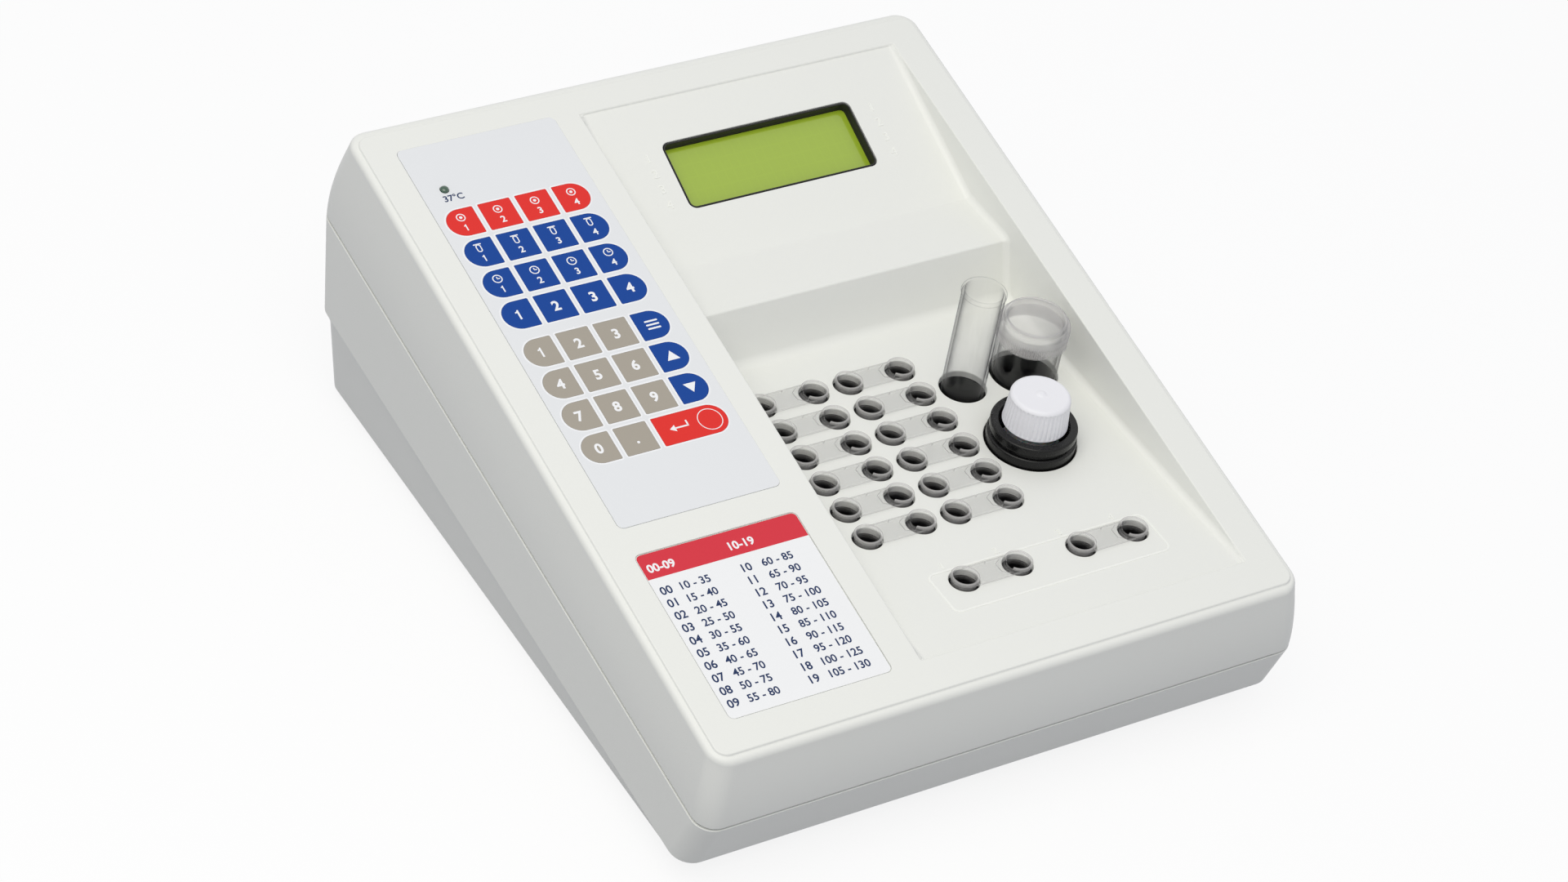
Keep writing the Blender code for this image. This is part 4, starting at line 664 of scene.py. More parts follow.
def display_glass():
    """Yellow-green character display under glass; its unlit cells show as a faint grid of 20 by 4."""
    made = bpy.data.materials.new("display_glass")
    made.use_nodes = True
    tree = made.node_tree
    shader = tree.nodes["Principled BSDF"]
    display = bpy.context.scene.analyzer_display
    shader.inputs["Roughness"].default_value = 0.3
    shader.inputs["Coat Weight"].default_value = 1.0
    shader.inputs["Coat Roughness"].default_value = 0.04
    place = add_node(tree, "ShaderNodeTexCoord").outputs["Object"]
    centre = PANEL @ Vector((display.across, -display.down, 0))
    turn = PANEL.to_euler()
    upright = {"Vector": place, "Location": centre, "Rotation": turn}
    level = add_node(tree, "ShaderNodeMapping", upright, vector_type="TEXTURE")
    parts = add_node(tree, "ShaderNodeSeparateXYZ", {0: level}).outputs
    cells = 1.0
    for axis, pitch, fill, count in ((0, 0.00355, 0.83, 20), (1, 0.00535, 0.88, 4)):
        steps = add_node(tree, "ShaderNodeMath", {0: parts[axis], 1: pitch}, operation="DIVIDE")
        offset = add_node(tree, "ShaderNodeMath", {0: steps, 1: 0.5}, operation="ADD")
        near = add_node(tree, "ShaderNodeMath", {0: offset, 1: 0.5}, operation="PINGPONG")
        inside = add_node(tree, "ShaderNodeMath", {0: near, 1: fill / 2}, operation="LESS_THAN")
        far = add_node(tree, "ShaderNodeMath", {0: steps}, operation="ABSOLUTE")
        within = add_node(tree, "ShaderNodeMath", {0: far, 1: count / 2}, operation="LESS_THAN")
        both = add_node(tree, "ShaderNodeMath", {0: inside, 1: within}, operation="MULTIPLY")
        cells = add_node(tree, "ShaderNodeMath", {0: both, 1: cells}, operation="MULTIPLY")
    faint = add_node(tree, "ShaderNodeMath", {0: cells, 1: 0.25}, operation="MULTIPLY")
    light = [*display.glass, 1.0]
    dark = [c * 0.9 for c in light[:3]] + [1.0]
    duller = [c * 0.97 for c in light]
    slow = add_node(tree, "ShaderNodeTexNoise", {"Vector": place, "Scale": 30.0, "Detail": 2.0})
    drift = add_node(tree, "ShaderNodeMix", {0: slow, 6: light, 7: duller}, data_type="RGBA")
    tone = add_node(tree, "ShaderNodeMix", {0: faint, 6: drift.outputs[2], 7: dark}, data_type="RGBA")
    tree.links.new(tone.outputs[2], shader.inputs["Base Color"])
    return made


# Housing


def plan_ring(outsets, radius, depth, slope, inset=0.0):
    """A rounded rectangle around the deck, on a plane at a depth under its front edge."""
    side, front, back = [outset - inset for outset in outsets]
    half = DECK_WIDTH / 2 + side
    outline = rounded_box(-half, half, -front, DECK_RUN + back, radius - inset)
    return [(x, y, slope * y - depth) for x, y in outline]


def deck_rings():
    """The raised deck with its softened edge, the step round it and the round shoulder."""
    edge = bpy.context.scene.analyzer_housing.edge_radius
    flush = (0, 0, 0)
    rings = []
    for a in arc(4):
        rings.append(plan_ring(flush, DECK_CORNER, edge * (1 - cos(a)), DECK_SLOPE, edge * (1 - sin(a))))
    for a in arc(4)[1:]:
        depth = mix(edge, DECK_STEP, sin(a))
        rings.append(plan_ring(flush, DECK_CORNER, depth, DECK_SLOPE, LEDGE * (cos(a) - 1)))
    for a in arc(8)[1:-1]:
        outsets = [mix(LEDGE, top, sin(a)) for top in SHOULDER]
        corner = mix(DECK_CORNER + LEDGE, WALL_CORNER, sin(a))
        rings.append(plan_ring(outsets, corner, mix(DECK_STEP, SHOULDER_DROP, 1 - cos(a)), DECK_SLOPE))
    return rings


def wall_ring(share, inset=0.0):
    """The cover's wall leans out as a quarter sine from its shoulder to its lip."""
    outsets = [mix(top, lip, sin(share * pi / 2)) for top, lip in zip(SHOULDER, LIP)]
    depth = mix(SHOULDER_DROP, LIP_DEPTH, share)
    return plan_ring(outsets, WALL_CORNER, depth, mix(DECK_SLOPE, LIP_SLOPE, share), inset)


def cover_shell():
    """The skin of the upper shell, from the deck down to the lip and up again inside."""
    shares = [i / 10 for i in range(10)]
    rings = deck_rings() + [wall_ring(share) for share in shares]
    for grow, depth in upper_round(0, LIP_DEPTH, LIP_ROUND, 3):
        rings.append(plan_ring(LIP, WALL_CORNER, depth, LIP_SLOPE, -grow))
    rings.append(plan_ring(LIP, WALL_CORNER, LIP_DEPTH, LIP_SLOPE, WALL))
    rings += [wall_ring(share, WALL) for share in reversed(shares[1:])]
    rings.append(plan_ring(SHOULDER, WALL_CORNER, TOP_WALL, DECK_SLOPE, WALL))
    return loft(rings)


def recess_corners():
    """The recess seen from the side, as (y, z, radius)."""
    height = RECESS[3] * DECK_SLOPE
    crease, drop_foot, drop_edge, shelf = 0.0004, 0.0045, 0.0010, 0.0030
    return [
        (RECESS[2], height, 0),
        (RECESS[2], FLOOR_LEVEL, crease),
        (DROP_FOOT, FLOOR_LEVEL, drop_foot),
        (DROP_EDGE, SHELF_LEVEL, drop_edge),
        (SHELF_BACK, SHELF_LEVEL, shelf),
        (RECESS[3], PANEL_TOP, crease),
        (RECESS[3], PANEL_TOP + height, 0),
    ]


def offset_corners(corners, distance):
    """Move a chain of corners into the open side, keeping its fillets concentric."""
    points = [Vector(corner[:2]) for corner in corners]
    normals = []
    for a, b in zip(points, points[1:]):
        along = (b - a).normalized()
        normals.append(Vector((-along.y, along.x)))
    chain = [(*(points[0] + normals[0] * distance), 0)]
    for i in range(1, len(points) - 1):
        before, after = normals[i - 1], normals[i]
        mitre = (before + after) / (1 + before.dot(after))
        turn = before.x * after.y - before.y * after.x
        radius = corners[i][2] - distance * (1 if turn > 0 else -1)
        chain.append((*(points[i] + mitre * distance), max(radius, 0.0004)))
    chain.append((*(points[-1] + normals[-1] * distance), 0))
    return chain


def filleted(corners, steps=7):
    """Replace each inner corner of a chain by an arc."""
    points = [Vector(corner[:2]) for corner in corners]
    chain = [points[0]]
    for i in range(1, len(points) - 1):
        before = (points[i - 1] - points[i]).normalized()
        after = (points[i + 1] - points[i]).normalized()
        half = before.angle(after) / 2
        radius = corners[i][2]
        middle = points[i] + (before + after).normalized() * (radius / sin(half))
        start = points[i] + before * (radius / tan(half)) - middle
        end = points[i] + after * (radius / tan(half)) - middle
        sweep = pi - 2 * half
        for k in range(steps + 1):
            share = k / steps
            spread = start * sin((1 - share) * sweep) + end * sin(share * sweep)
            chain.append(middle + spread / sin(sweep))
    chain.append(points[-1])
    return chain


def trough(radius, grow, rise, steps=7):
    """The recess as a solid with round lower edges, grown outward and closed along the deck."""
    rings = []
    left, right = RECESS[0] - grow, RECESS[1] + grow
    sides = [(left + radius * (1 - cos(a)), a) for a in arc(steps)]
    sides += [(right - radius * (1 - cos(a)), a) for a in reversed(arc(steps))]
    for x, angle in sides:
        chain = filleted(offset_corners(recess_corners(), radius * (1 - sin(angle)) - grow))
        front, back = chain[0].x, chain[-1].x
        ends = [(back, back * DECK_SLOPE + rise), (front, front * DECK_SLOPE + rise)]
        points = [tuple(point) for point in chain[1:-1]] + ends
        rings.append([(x, y, z) for y, z in points])
    return loft(rings)


def flare(edge, start=0.0):
    """(margin, height) pairs of a cutter that rounds an edge over and runs on past the face."""
    steps = [(edge * (1 - cos(a)), edge * (sin(a) - 1)) for a in arc(2, start, pi / 3)]
    return steps + [(steps[-1][0] + 0.0010, steps[-1][1] + 0.00027)]


def rim_relief():
    """Cutter that rounds the deck's edge over the recess."""
    edge = bpy.context.scene.analyzer_housing.rim_radius
    left, right, front, back = RECESS
    rings = []
    for grow, z in [(-edge, -1.5 * edge)] + flare(edge, 0.14):
        corner = max(0.0003 + grow, 0.0001)
        outline = rounded_box(left - grow, right + grow, front - grow, back + grow, corner, 4)
        rings.append([(x, y, y * DECK_SLOPE + z) for x, y in outline])
    return loft(rings)


def body_box(name):
    """The lowest and the highest corner of a CAD node in the body frame."""
    return [BODY.inverted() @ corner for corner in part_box(name)]


def well_places():
    """The centre of every double cuvette's left cup, from its CAD node."""
    places = {}
    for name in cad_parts:
        if name.startswith("cuvette_"):
            low, high = body_box(name)
            left = low.x + bpy.context.scene.analyzer_cuvettes.rim_radius
            places[name] = Vector((left, (low.y + high.y) / 2, high.z))
    return places


def cup_places(names=()):
    """The centre of every cup of these cuvettes, or of all, two to a cuvette."""
    places = well_places()
    pitch = bpy.context.scene.analyzer_cuvettes.pitch
    return [(places[name].x + step, places[name].y) for name in names or places for step in (0, pitch)]


def vessel_centre(name):
    """The middle of a vessel's top."""
    low, high = body_box(name)
    return Vector(((low.x + high.x) / 2, (low.y + high.y) / 2, high.z))


def hole(radius, edge=0.0003, sides=48):
    """Cutter for a hole in the recess floor, flared at the top so that its rim is broken."""
    profile = [(radius, FLOOR_LEVEL - RECESS_WALL - OVERRUN)]
    profile += [(radius + grow, FLOOR_LEVEL + z) for grow, z in flare(edge)]
    return turned(profile, sides)


def floor_holes():
    holes = [shifted(hole(CUP_HOLE), x, y) for x, y in cup_places()]
    for name, radius in VESSEL_HOLES.items():
        holes.append(shifted(hole(radius, 0.0004, 96), *vessel_centre(name).xy))
    return gathered(holes)


def post(x, y, radius, low, high, sides=24):
    return prism(circle(x, y, radius, sides), low, high)


def cover_boss(x, y, split):
    """A boss with its blind pilot hole, hanging from the slope of the deck."""
    pilot, pilot_depth, boss = 0.0012, 0.0100, 0.0036
    rings = []
    for radius, z, slope in (
        (pilot, split + pilot_depth, 0),
        (pilot, split + SEAT_GAP, 0),
        (boss, split + SEAT_GAP, 0),
        (boss, OVERLAP - TOP_WALL, DECK_SLOPE),
    ):
        rings.append([(px, py, z + slope * py) for px, py in circle(x, y, radius, 24)])
    return loft(rings)


def screen_outline(grow=0.0):
    display = bpy.context.scene.analyzer_display
    middle = (display.across, -display.down)
    return box_outline(*middle, display.width, display.height, display.corner)(grow)


def soft_pocket(outline, depth, edge=0.0002, margin=0.0):
    """Cutter for a shallow pocket whose upper edge is broken."""
    return outlined(outline, [(margin, -depth)] + [(margin + grow, z) for grow, z in flare(edge)])


card_outline = box_outline(-0.0716, 0.04585, 0.0606, 0.0677, 0.0020)
keypad_outline = box_outline(KEYPAD_MIDDLE, 0.17665, 0.0609, 0.1707, 0.0020)


def to_deck(mesh):
    """From the deck's frame into the body frame, where the housing is built."""
    return moved(mesh, BODY.inverted() @ DECK)


def to_panel(mesh):
    return moved(mesh, BODY.inverted() @ PANEL)


def lamp_bore(low, high):
    return shifted(turned([(0.0017, low), (0.0017, high)], 24), *LAMP_PLACE)


def housing_cover():
    """The upper shell with its recess, wells, pockets and bosses, in the body frame."""
    shell = fused(cover_shell(), trough(RECESS_WALL, RECESS_WALL, -DECK_STEP))
    shell = fused(shell, gathered([cover_boss(*place) for place in BOSS_PLACES]))
    shell = cut(shell, trough(RECESS_ROUND, 0, OVERRUN), floor_holes())
    pockets = [
        to_panel(soft_pocket(screen_outline, RECESS_WALL + OVERRUN, 0.0003, 0.0009)),
        to_deck(soft_pocket(keypad_outline, 0.0017, margin=SEAT_GAP)),
        to_deck(soft_pocket(card_outline, 0.0008, margin=SEAT_GAP)),
        to_deck(lamp_bore(-0.006, 0.001)),
    ]
    return cut(shell, *pockets, rim_relief())


def base_shell():
    """The lower shell: tongue and rim, raked band, ledge, plinth and a level floor."""
    rim = LIP_DEPTH + PARTING_GAP
    tongue = WALL + 0.0004
    tongue_top = LIP_DEPTH - 0.0030
    inner = tongue + 0.0013
    ledge = 0.0002
    rings = [
        plan_ring(FOOT, FOOT_CORNER, -FLOOR_TOP, 0, WALL),
        plan_ring(PLINTH, PLINTH_CORNER, PLINTH_DEPTH, PLINTH_SLOPE, WALL),
        plan_ring(BAND, WALL_CORNER, BAND_DEPTH, BAND_SLOPE, WALL),
        plan_ring(LIP, WALL_CORNER, rim + 0.0030, LIP_SLOPE, inner),
        plan_ring(LIP, WALL_CORNER, tongue_top, LIP_SLOPE, inner),
        plan_ring(LIP, WALL_CORNER, tongue_top, LIP_SLOPE, tongue),
        plan_ring(LIP, WALL_CORNER, rim, LIP_SLOPE, tongue),
    ]
    top = [lip - inset for lip, inset in zip(LIP, RIM_INSET)]
    for grow, depth in lower_round(0, rim, RIM_ROUND, 3):
        rings.append(plan_ring(top, WALL_CORNER, depth, LIP_SLOPE, -grow))
    for share in (0.25, 0.5, 0.75):
        outsets = [mix(a, b, share) for a, b in zip(top, BAND)]
        depth = mix(rim + RIM_ROUND, BAND_DEPTH, share)
        rings.append(plan_ring(outsets, WALL_CORNER, depth, mix(LIP_SLOPE, BAND_SLOPE, share)))
    rings.append(plan_ring(BAND, WALL_CORNER, BAND_DEPTH - ledge, BAND_SLOPE))
    rings.append(plan_ring(BAND, WALL_CORNER, BAND_DEPTH, BAND_SLOPE, ledge))
    rings.append(plan_ring(PLINTH, PLINTH_CORNER, PLINTH_DEPTH, PLINTH_SLOPE))
    for grow, depth in upper_round(0, BODY_HEIGHT, FOOT_ROUND):
        rings.append(plan_ring(FOOT, FOOT_CORNER, depth, 0, -grow))
    return loft(rings)


def housing_base():
    """The lower shell with its posts, its screw holes and the windows at the rear."""
    boss, seat, seat_inset, head, shank = 0.0046, 0.0045, 0.006, 0.0032, 0.0017
    foot = FLOOR_TOP - OVERLAP
    under = -BODY_HEIGHT - OVERRUN
    posts = [post(x, y, boss, foot, z) for x, y, z in BOSS_PLACES]
    low, high = body_box("thermo_block")
    for x in (low.x + seat_inset, high.x - seat_inset):
        for y in (low.y + seat_inset, high.y - seat_inset):
            posts.append(post(x, y, seat, foot, low.z - SEAT_GAP))
    tray = fused(base_shell(), gathered(posts))
    sinks = [post(x, y, head, under, z - SCREW_SINK) for x, y, z in BOSS_PLACES]
    bores = [post(x, y, shank, under, z + OVERRUN, 16) for x, y, z in BOSS_PLACES]
    window = moved(prism(inlet_outline(0.0004), -0.006, OVERRUN), BODY.inverted() @ REAR)
    return cut(tray, gathered(sinks), gathered(bores), window, socket_cutter())


# Keypad


LAMP_PLACE = (-0.0925, 0.2416)


def key_place(name):
    """Where a key sits on the deck, with its width and depth, from its CAD node."""
    points = [DECK.inverted() @ v.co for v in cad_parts[name].data.vertices]
    low, high = [Vector([end(p[i] for p in points) for i in range(3)]) for end in (min, max)]
    middle = (low + high) / 2
    return Vector((middle.x, middle.y, low.z)), high.x - low.x, high.y - low.y


def key_outline(name):
    """A key seen from above: square, or with its outer end a half circle."""
    spot, width, depth = key_place(name)
    from_middle = spot.x - KEYPAD_MIDDLE
    side = 0
    if width > depth * 1.5 or from_middle > depth * 1.5:
        side = 1
    elif from_middle < -depth * 1.5:
        side = -1

    def outline(grow=0.0):
        half, reach = width / 2 + grow, depth / 2 + grow
        corner = 0.0004 + max(grow, -0.0003)
        if side == 0:
            return rounded_box(-half, half, -reach, reach, corner, 4)
        points = [(half - reach + reach * cos(a), reach * sin(a)) for a in arc(24, -pi / 2, pi / 2)]
        for y, start in ((reach - corner, pi / 2), (corner - reach, pi)):
            turns = arc(4, start, start + pi / 2)
            points += [(corner - half + corner * cos(a), y + corner * sin(a)) for a in turns]
        return points if side > 0 else [(-x, -y) for x, y in points]

    return outline, spot


def key_names():
    return sorted(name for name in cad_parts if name.startswith("key_"))


def key_colour(name):
    colour = "blue"
    if name.startswith("key_sensor") or name == "key_enter":
        colour = "red"
    elif name[4:].isdigit() or name == "key_point":
        colour = "grey"
    return screen_ink(colour, [*getattr(bpy.context.scene.analyzer_keypad, colour), 1.0])


def ring_mark(radius, width, thickness):
    inner = radius - width
    return turned([(inner, 0), (inner, thickness), (radius, thickness), (radius, 0)], 32, closed=True)


def bar_mark(width, height, thickness):
    return prism(box_outline(0, 0, width, height, height / 2.2, 4)(), 0, thickness)


def key_figure(number, height, weight):
    """One digit of a key; the figure 1 is drawn here, with a clear flag."""
    ink = bpy.context.scene.analyzer_keypad.ink_thickness
    if number != "1":
        return figures(number, height, ink, weight)
    flag = [(0.0, 0.5), (-0.05, 0.38), (-0.22, 0.31), (-0.22, 0.18), (-0.05, 0.22)]
    stem = [(0.12, -0.5), (0.12, 0.5), *flag, (-0.05, -0.5)]
    return prism([(x * height, y * height) for x, y in stem], 0, ink)


def key_marks(name):
    """The generic signs printed on a key, as meshes from z = 0."""
    ink = bpy.context.scene.analyzer_keypad.ink_thickness
    kind, _, number = name[4:].partition("_")
    if kind == "mode" or kind.isdigit():
        return [key_figure(number or kind, 0.0041, 0.03)]
    if kind == "point":
        return [prism(box_outline(0, -0.0016, 0.0010, 0.0010, 0.0004, 4)(), 0, ink)]
    if kind == "enter":
        head = prism([(-0.0086, 0), (-0.0064, 0.0014), (-0.0064, -0.0014)], 0, ink)
        stem = shifted(bar_mark(0.0052, 0.0006, ink), -0.0039, 0)
        rise = shifted(prism(box_outline(0, 0, 0.0006, 0.0022, 0.0002, 4)(), 0, ink), -0.0016, 0.0011)
        return [shifted(ring_mark(0.0045, 0.0003, ink), 0.0068, 0), head, stem, rise]
    if kind == "menu":
        return [shifted(bar_mark(0.0050, 0.0007, ink), 0, y) for y in (-0.0016, 0, 0.0016)]
    if kind in ("up", "down"):
        way = 1 if kind == "up" else -1
        return [prism([(-0.0024, -0.0018 * way), (0.0024, -0.0018 * way), (0, 0.0022 * way)], 0, ink)]
    if kind == "sensor":
        signs = [ring_mark(0.0017, 0.0004, ink), turned([(0.0006, 0), (0.0006, ink)], 16)]
    elif kind == "unit":
        tube = box_outline(0, -0.0001, 0.0016, 0.0030, 0.0008, 6)
        wall = [(-0.0002, 0), (-0.0002, ink), (0.0002, ink), (0.0002, 0)]
        signs = [outlined(tube, wall, closed=True), shifted(bar_mark(0.0030, 0.0005, ink), 0, 0.0017)]
    else:
        signs = [ring_mark(0.0018, 0.0004, ink), shifted(bar_mark(0.0012, 0.0004, ink), 0.0004, 0)]
        upright = moved(bar_mark(0.0011, 0.0004, ink), Matrix.Rotation(pi / 2, 4, "Z"))
        signs.append(shifted(upright, 0, 0.0004))
    figure = shifted(key_figure(number, 0.0028, 0.02), 0, -0.0024)
    return [figure] + [shifted(sign, 0, 0.0022) for sign in signs]


def key_shape(name):
    outline, spot = key_outline(name)
    keypad = bpy.context.scene.analyzer_keypad
    top = keypad.key_height
    parts = [painted(soft_slab(outline, 0, top, keypad.key_edge), key_colour(name))]
    parts += [painted(shifted(mark, 0, 0, top), white_ink()) for mark in key_marks(name)]
    return moved(gathered(parts), DECK @ Matrix.Translation(spot))


def keypad_film():
    """The film with a pocket for each key, and a raised line round every key printed white as a painted
    highlight.
    """
    face = 0.00012
    gap = 0.00006
    plate = soft_slab(lambda grow=0.0: keypad_outline(0.00023 + grow), -0.0014, face, 0.0001)
    pockets, highlight_lines = [], []
    for name in key_names():
        outline, spot = key_outline(name)
        pockets.append(shifted(prism(outline(gap), -0.0008, face + OVERRUN), spot.x, spot.y))
        # A real raised rim round the key, printed in white ink: the white is a painted highlight along
        # its edge.
        line = flat_ring(outline, gap + 0.00002, gap + 0.0006, face - 0.0001, face + 0.00004)
        highlight_lines.append(painted(shifted(line, spot.x, spot.y), white_ink()))
    plate = painted(cut(plate, gathered(pockets), lamp_bore(-0.004, 0.004)), polyester_film())
    x, y = LAMP_PLACE
    sign = shifted(figures("37\u00b0C", 0.0027, 0.00002, 0.02), x + 0.0016, y - 0.0040, face)
    return moved(gathered([plate, painted(sign, navy_ink())] + highlight_lines), DECK)


def status_lamp():
    radius = 0.00155
    profile = [(0.0013, -0.0025), (radius, -0.0020), (radius, 0.0003)]
    profile += [(radius * cos(a), 0.0003 + 0.0009 * sin(a)) for a in arc(6)[1:-1]]
    profile.append((0.0001, 0.0012))
    return painted(shifted(turned(profile, 32), *LAMP_PLACE), lamp_lens())


# Card


def test_card():
    """A numbered list under a red heading band, with a plain range of numbers in every row."""
    ink = 0.00002
    base, face = -0.00072, -0.00030
    band_foot, first_row, row_step = 0.0697, 0.0644, 0.00521
    parts = [painted(soft_slab(card_outline, base, face, 0.00008), printed_card())]
    top = [point for point in card_outline(-0.0001) if point[1] > 0.06]
    band = [(top[0][0], band_foot), *top, (top[-1][0], band_foot)]
    parts.append(painted(prism(band, face, face + ink), screen_ink("card_red", linear("#D63845"))))
    for column, left in enumerate((-0.1001, -0.0696)):
        heading = left_figures(f"{column}0-{column}9", 0.0032, ink, 0.03)
        parts.append(painted(shifted(heading, left, band_foot + 0.0040, face + ink), white_ink()))
        for row in range(10):
            low = 5 * (10 * column + row) + 10
            entries = ((f"{column}{row}", 0.0032, 0), (f"{low} - {low + 25}", 0.0030, 0.0075))
            for words, height, indent in entries:
                mark = left_figures(words, height, ink, 0.02)
                mark = shifted(mark, left + indent, first_row - row * row_step, face)
                parts.append(painted(mark, navy_ink()))
    return moved(gathered(parts), DECK)


def left_figures(text, height, thickness, weight):
    """Figures that start at x = 0 in place of being centred there."""
    mesh = figures(text, height, thickness, weight)
    return shifted(mesh, -min(v.co.x for v in mesh.vertices), 0)


# Display


def display_lining():
    """The black frame in the window's edge, and the bezel of the module behind it."""
    display = bpy.context.scene.analyzer_display
    low, high = -0.0036, -0.0003
    profile = [(0.0, low), (0.0, high - 0.0002), (0.0001, high)]
    profile += [(0.0005, high), (0.0006, high - 0.0002), (0.0006, low)]
    lining = outlined(screen_outline, profile, closed=True)
    plate = box_outline(display.across, -display.down, 0.0970, 0.0400, 0.0020)
    window = prism(screen_outline(-0.0001), -display.depth - 0.0002, OVERRUN)
    bezel = cut(soft_slab(plate, -0.0096, -0.0029, 0.0006), window)
    return moved(painted(gathered([lining, bezel]), black_lining()), PANEL)


def display_face():
    face = -bpy.context.scene.analyzer_display.depth
    return moved(painted(prism(screen_outline(-0.0002), face - 0.0008, face), display_glass()), PANEL)


def display_board():
    display = bpy.context.scene.analyzer_display
    x, y, face = display.across, -display.down, -0.0090
    outline = box_outline(x, y, 0.0980, 0.0600, 0.0010)
    board = painted(soft_slab(outline, face - BOARD_THICKNESS, face, 0.0001), solder_mask())
    points = [(x + i * 0.0465, y + j * 0.0275, face) for i in (-1, 1) for j in (-1, 1)]
    return moved(gathered([board, repeated(pan_screw(0.0016, 0.0012), points, zinc_steel())]), PANEL)


def raised_figures():
    """Numerals beside the display and the optic wells, and the thin frame line round those wells,
    painted lighter as a highlight.
    """
    middle = bpy.context.scene.analyzer_display.across
    height = bpy.context.scene.analyzer_housing.relief
    parts = []
    for x in (middle - 0.0459, middle + 0.0465):
        for row in range(4):
            number = figures(str(row + 1), 0.0036, height, 0.0)
            parts.append(moved(shifted(number, x, -0.0222 - row * 0.00637), PANEL))
    for index, (x, y) in enumerate(cup_places(OPTIC_WELLS)):
        number = figures(str(index + 1), 0.0030, height, 0.0)
        parts.append(moved(shifted(number, x - 0.0035, y + 0.0086, FLOOR_LEVEL), BODY))
    outline = box_outline(0.03675, 0.03735, 0.0865, 0.0187, 0.0025)
    line = flat_ring(outline, -0.0004, 0.0004, FLOOR_LEVEL - 0.0001, FLOOR_LEVEL + height)
    # The relief is coloured lighter than the plastic round it: a painted highlight.
    return painted(gathered(parts + [moved(line, BODY)]), highlit_relief())


# Block, boards and rear fittings


SOCKET_X = 0.0600
SOCKET_HEIGHT = 0.0125
SOCKET_REACH = 0.0012
INLET_PLACE = (0.0700, -0.0040)
INLET_FACE = SEAT_GAP + 0.0012
PLUG_ACROSS, PLUG_DEPTH = -0.0092, 0.0160
ROCKER_ACROSS = 0.0146


def heated_block():
    """The block with a well under every cup and vessel, and light bores from its front."""
    low, high = body_box("thermo_block")
    cup_foot = FLOOR_LEVEL - bpy.context.scene.analyzer_cuvettes.depth
    wells = [(x, y, 0.0050, cup_foot, 32) for x, y in cup_places()]
    for name, radius in VESSEL_HOLES.items():
        wells.append((*vessel_centre(name).xy, radius - 0.0002, body_box(name)[0].z, 64))
    holes = []
    for x, y, radius, foot, sides in wells:
        profile = [(radius, foot - SEAT_GAP), (radius, high.z + OVERRUN)]
        holes.append(shifted(turned(profile, sides), x, y))
    lying = Matrix.Rotation(-pi / 2, 4, "X")
    bars = []
    for x, _ in cup_places(OPTIC_WELLS):
        bar = moved(turned([(0.0015, -OVERRUN), (0.0015, 0.0170)], 20), lying)
        bars.append(shifted(bar, x, low.y, cup_foot + 0.0053))
    body = block(low.x, high.x, low.y, high.y, low.z, high.z)
    return moved(painted(cut(body, gathered(holes), gathered(bars)), anodised_block()), BODY)


def pan_screw(radius, height):
    """A pan head with a cross recess, from z = 0 up."""
    profile = [(radius, 0), (radius, height * 0.45)]
    profile += [(radius * (0.3 + 0.7 * cos(a)), height * (0.45 + 0.55 * sin(a))) for a in arc(5)[1:]]
    arms = []
    for x, y in ((radius * 0.62, radius * 0.12), (radius * 0.12, radius * 0.62)):
        arms.append(block(-x, x, -y, y, height * 0.35, height * 2))
    return cut(turned(profile, 24), *arms)


def housing_screws():
    """Four screws up through the base, seen from below."""
    points = [(x, -y, SCREW_SINK - z) for x, y, z in BOSS_PLACES]
    screws = repeated(pan_screw(0.0029, 0.0020), points, zinc_steel(), 0.7)
    return moved(screws, BODY @ Matrix.Rotation(pi, 4, "X"))


def bench_pads():
    """Rubber pads with a shallow ring in their face."""
    groove = 0.0004 - PAD_HEIGHT
    profile = [(0.0070, 0.0004), (0.0068, -0.0006), (0.0065, groove), (0.0060, -PAD_HEIGHT)]
    profile += [(0.0042, -PAD_HEIGHT), (0.0040, groove), (0.0028, groove)]
    profile += [(0.0026, -PAD_HEIGHT), (0.0002, -PAD_HEIGHT)]
    points = [(x, y, -BODY_HEIGHT) for x, y in PAD_PLACES]
    return moved(repeated(turned(profile, 48), points, pad_rubber()), BODY)


def board_top():
    return body_box("main_board")[0].z + BOARD_THICKNESS


def circuit_board():
    top = board_top()
    outline = box_outline(0.0375, 0.2160, 0.1150, 0.0880, 0.0010)
    return moved(painted(soft_slab(outline, top - BOARD_THICKNESS, top, 0.0001), solder_mask()), BODY)


def board_parts():
    """Supply module, processor with its legs, capacitors and a header."""
    top = board_top()
    left, front = -0.0120, 0.1800
    chip, header = left + 0.042, left + 0.068
    boxes = (
        (left, 0.036, 0.060, 0, 0.024, 0.0008, black_moulding()),
        (chip, 0.020, 0.020, 0.0005, 0.0025, 0.0003, black_lining()),
        (header, 0.030, 0.006, 0, 0.0085, 0.0004, black_lining()),
    )
    parts = []
    for x, width, depth, low, high, edge, look in boxes:
        shape = block(x, x + width, front, front + depth, top + low, top + high)
        parts.append(painted(bevelled(shape, edge), look))
    leg = block(-0.0011, 0.0011, -0.0002, 0.0002, 0, 0.0009)
    legs = []
    for x in (chip - 0.0005, chip + 0.0205):
        legs += [(x, front + 0.002 + i * 0.00127, top) for i in range(13)]
    parts.append(repeated(leg, legs, nickel()))
    can = turned([(0.0050, 0), (0.0050, 0.0150)] + upper_round(0.0050, 0.0160, 0.0008), 32)
    cans = [(chip + 0.005 + i * 0.016, front + 0.031, top) for i in range(2)]
    parts.append(repeated(can, cans, zinc_steel()))
    pins = [(header + 0.0025 + i * 0.0025, front + 0.003, top + 0.0085) for i in range(11)]
    parts.append(repeated(block(-0.0003, 0.0003, -0.0003, 0.0003, -0.001, 0.002), pins, nickel()))
    return moved(gathered(parts), BODY)


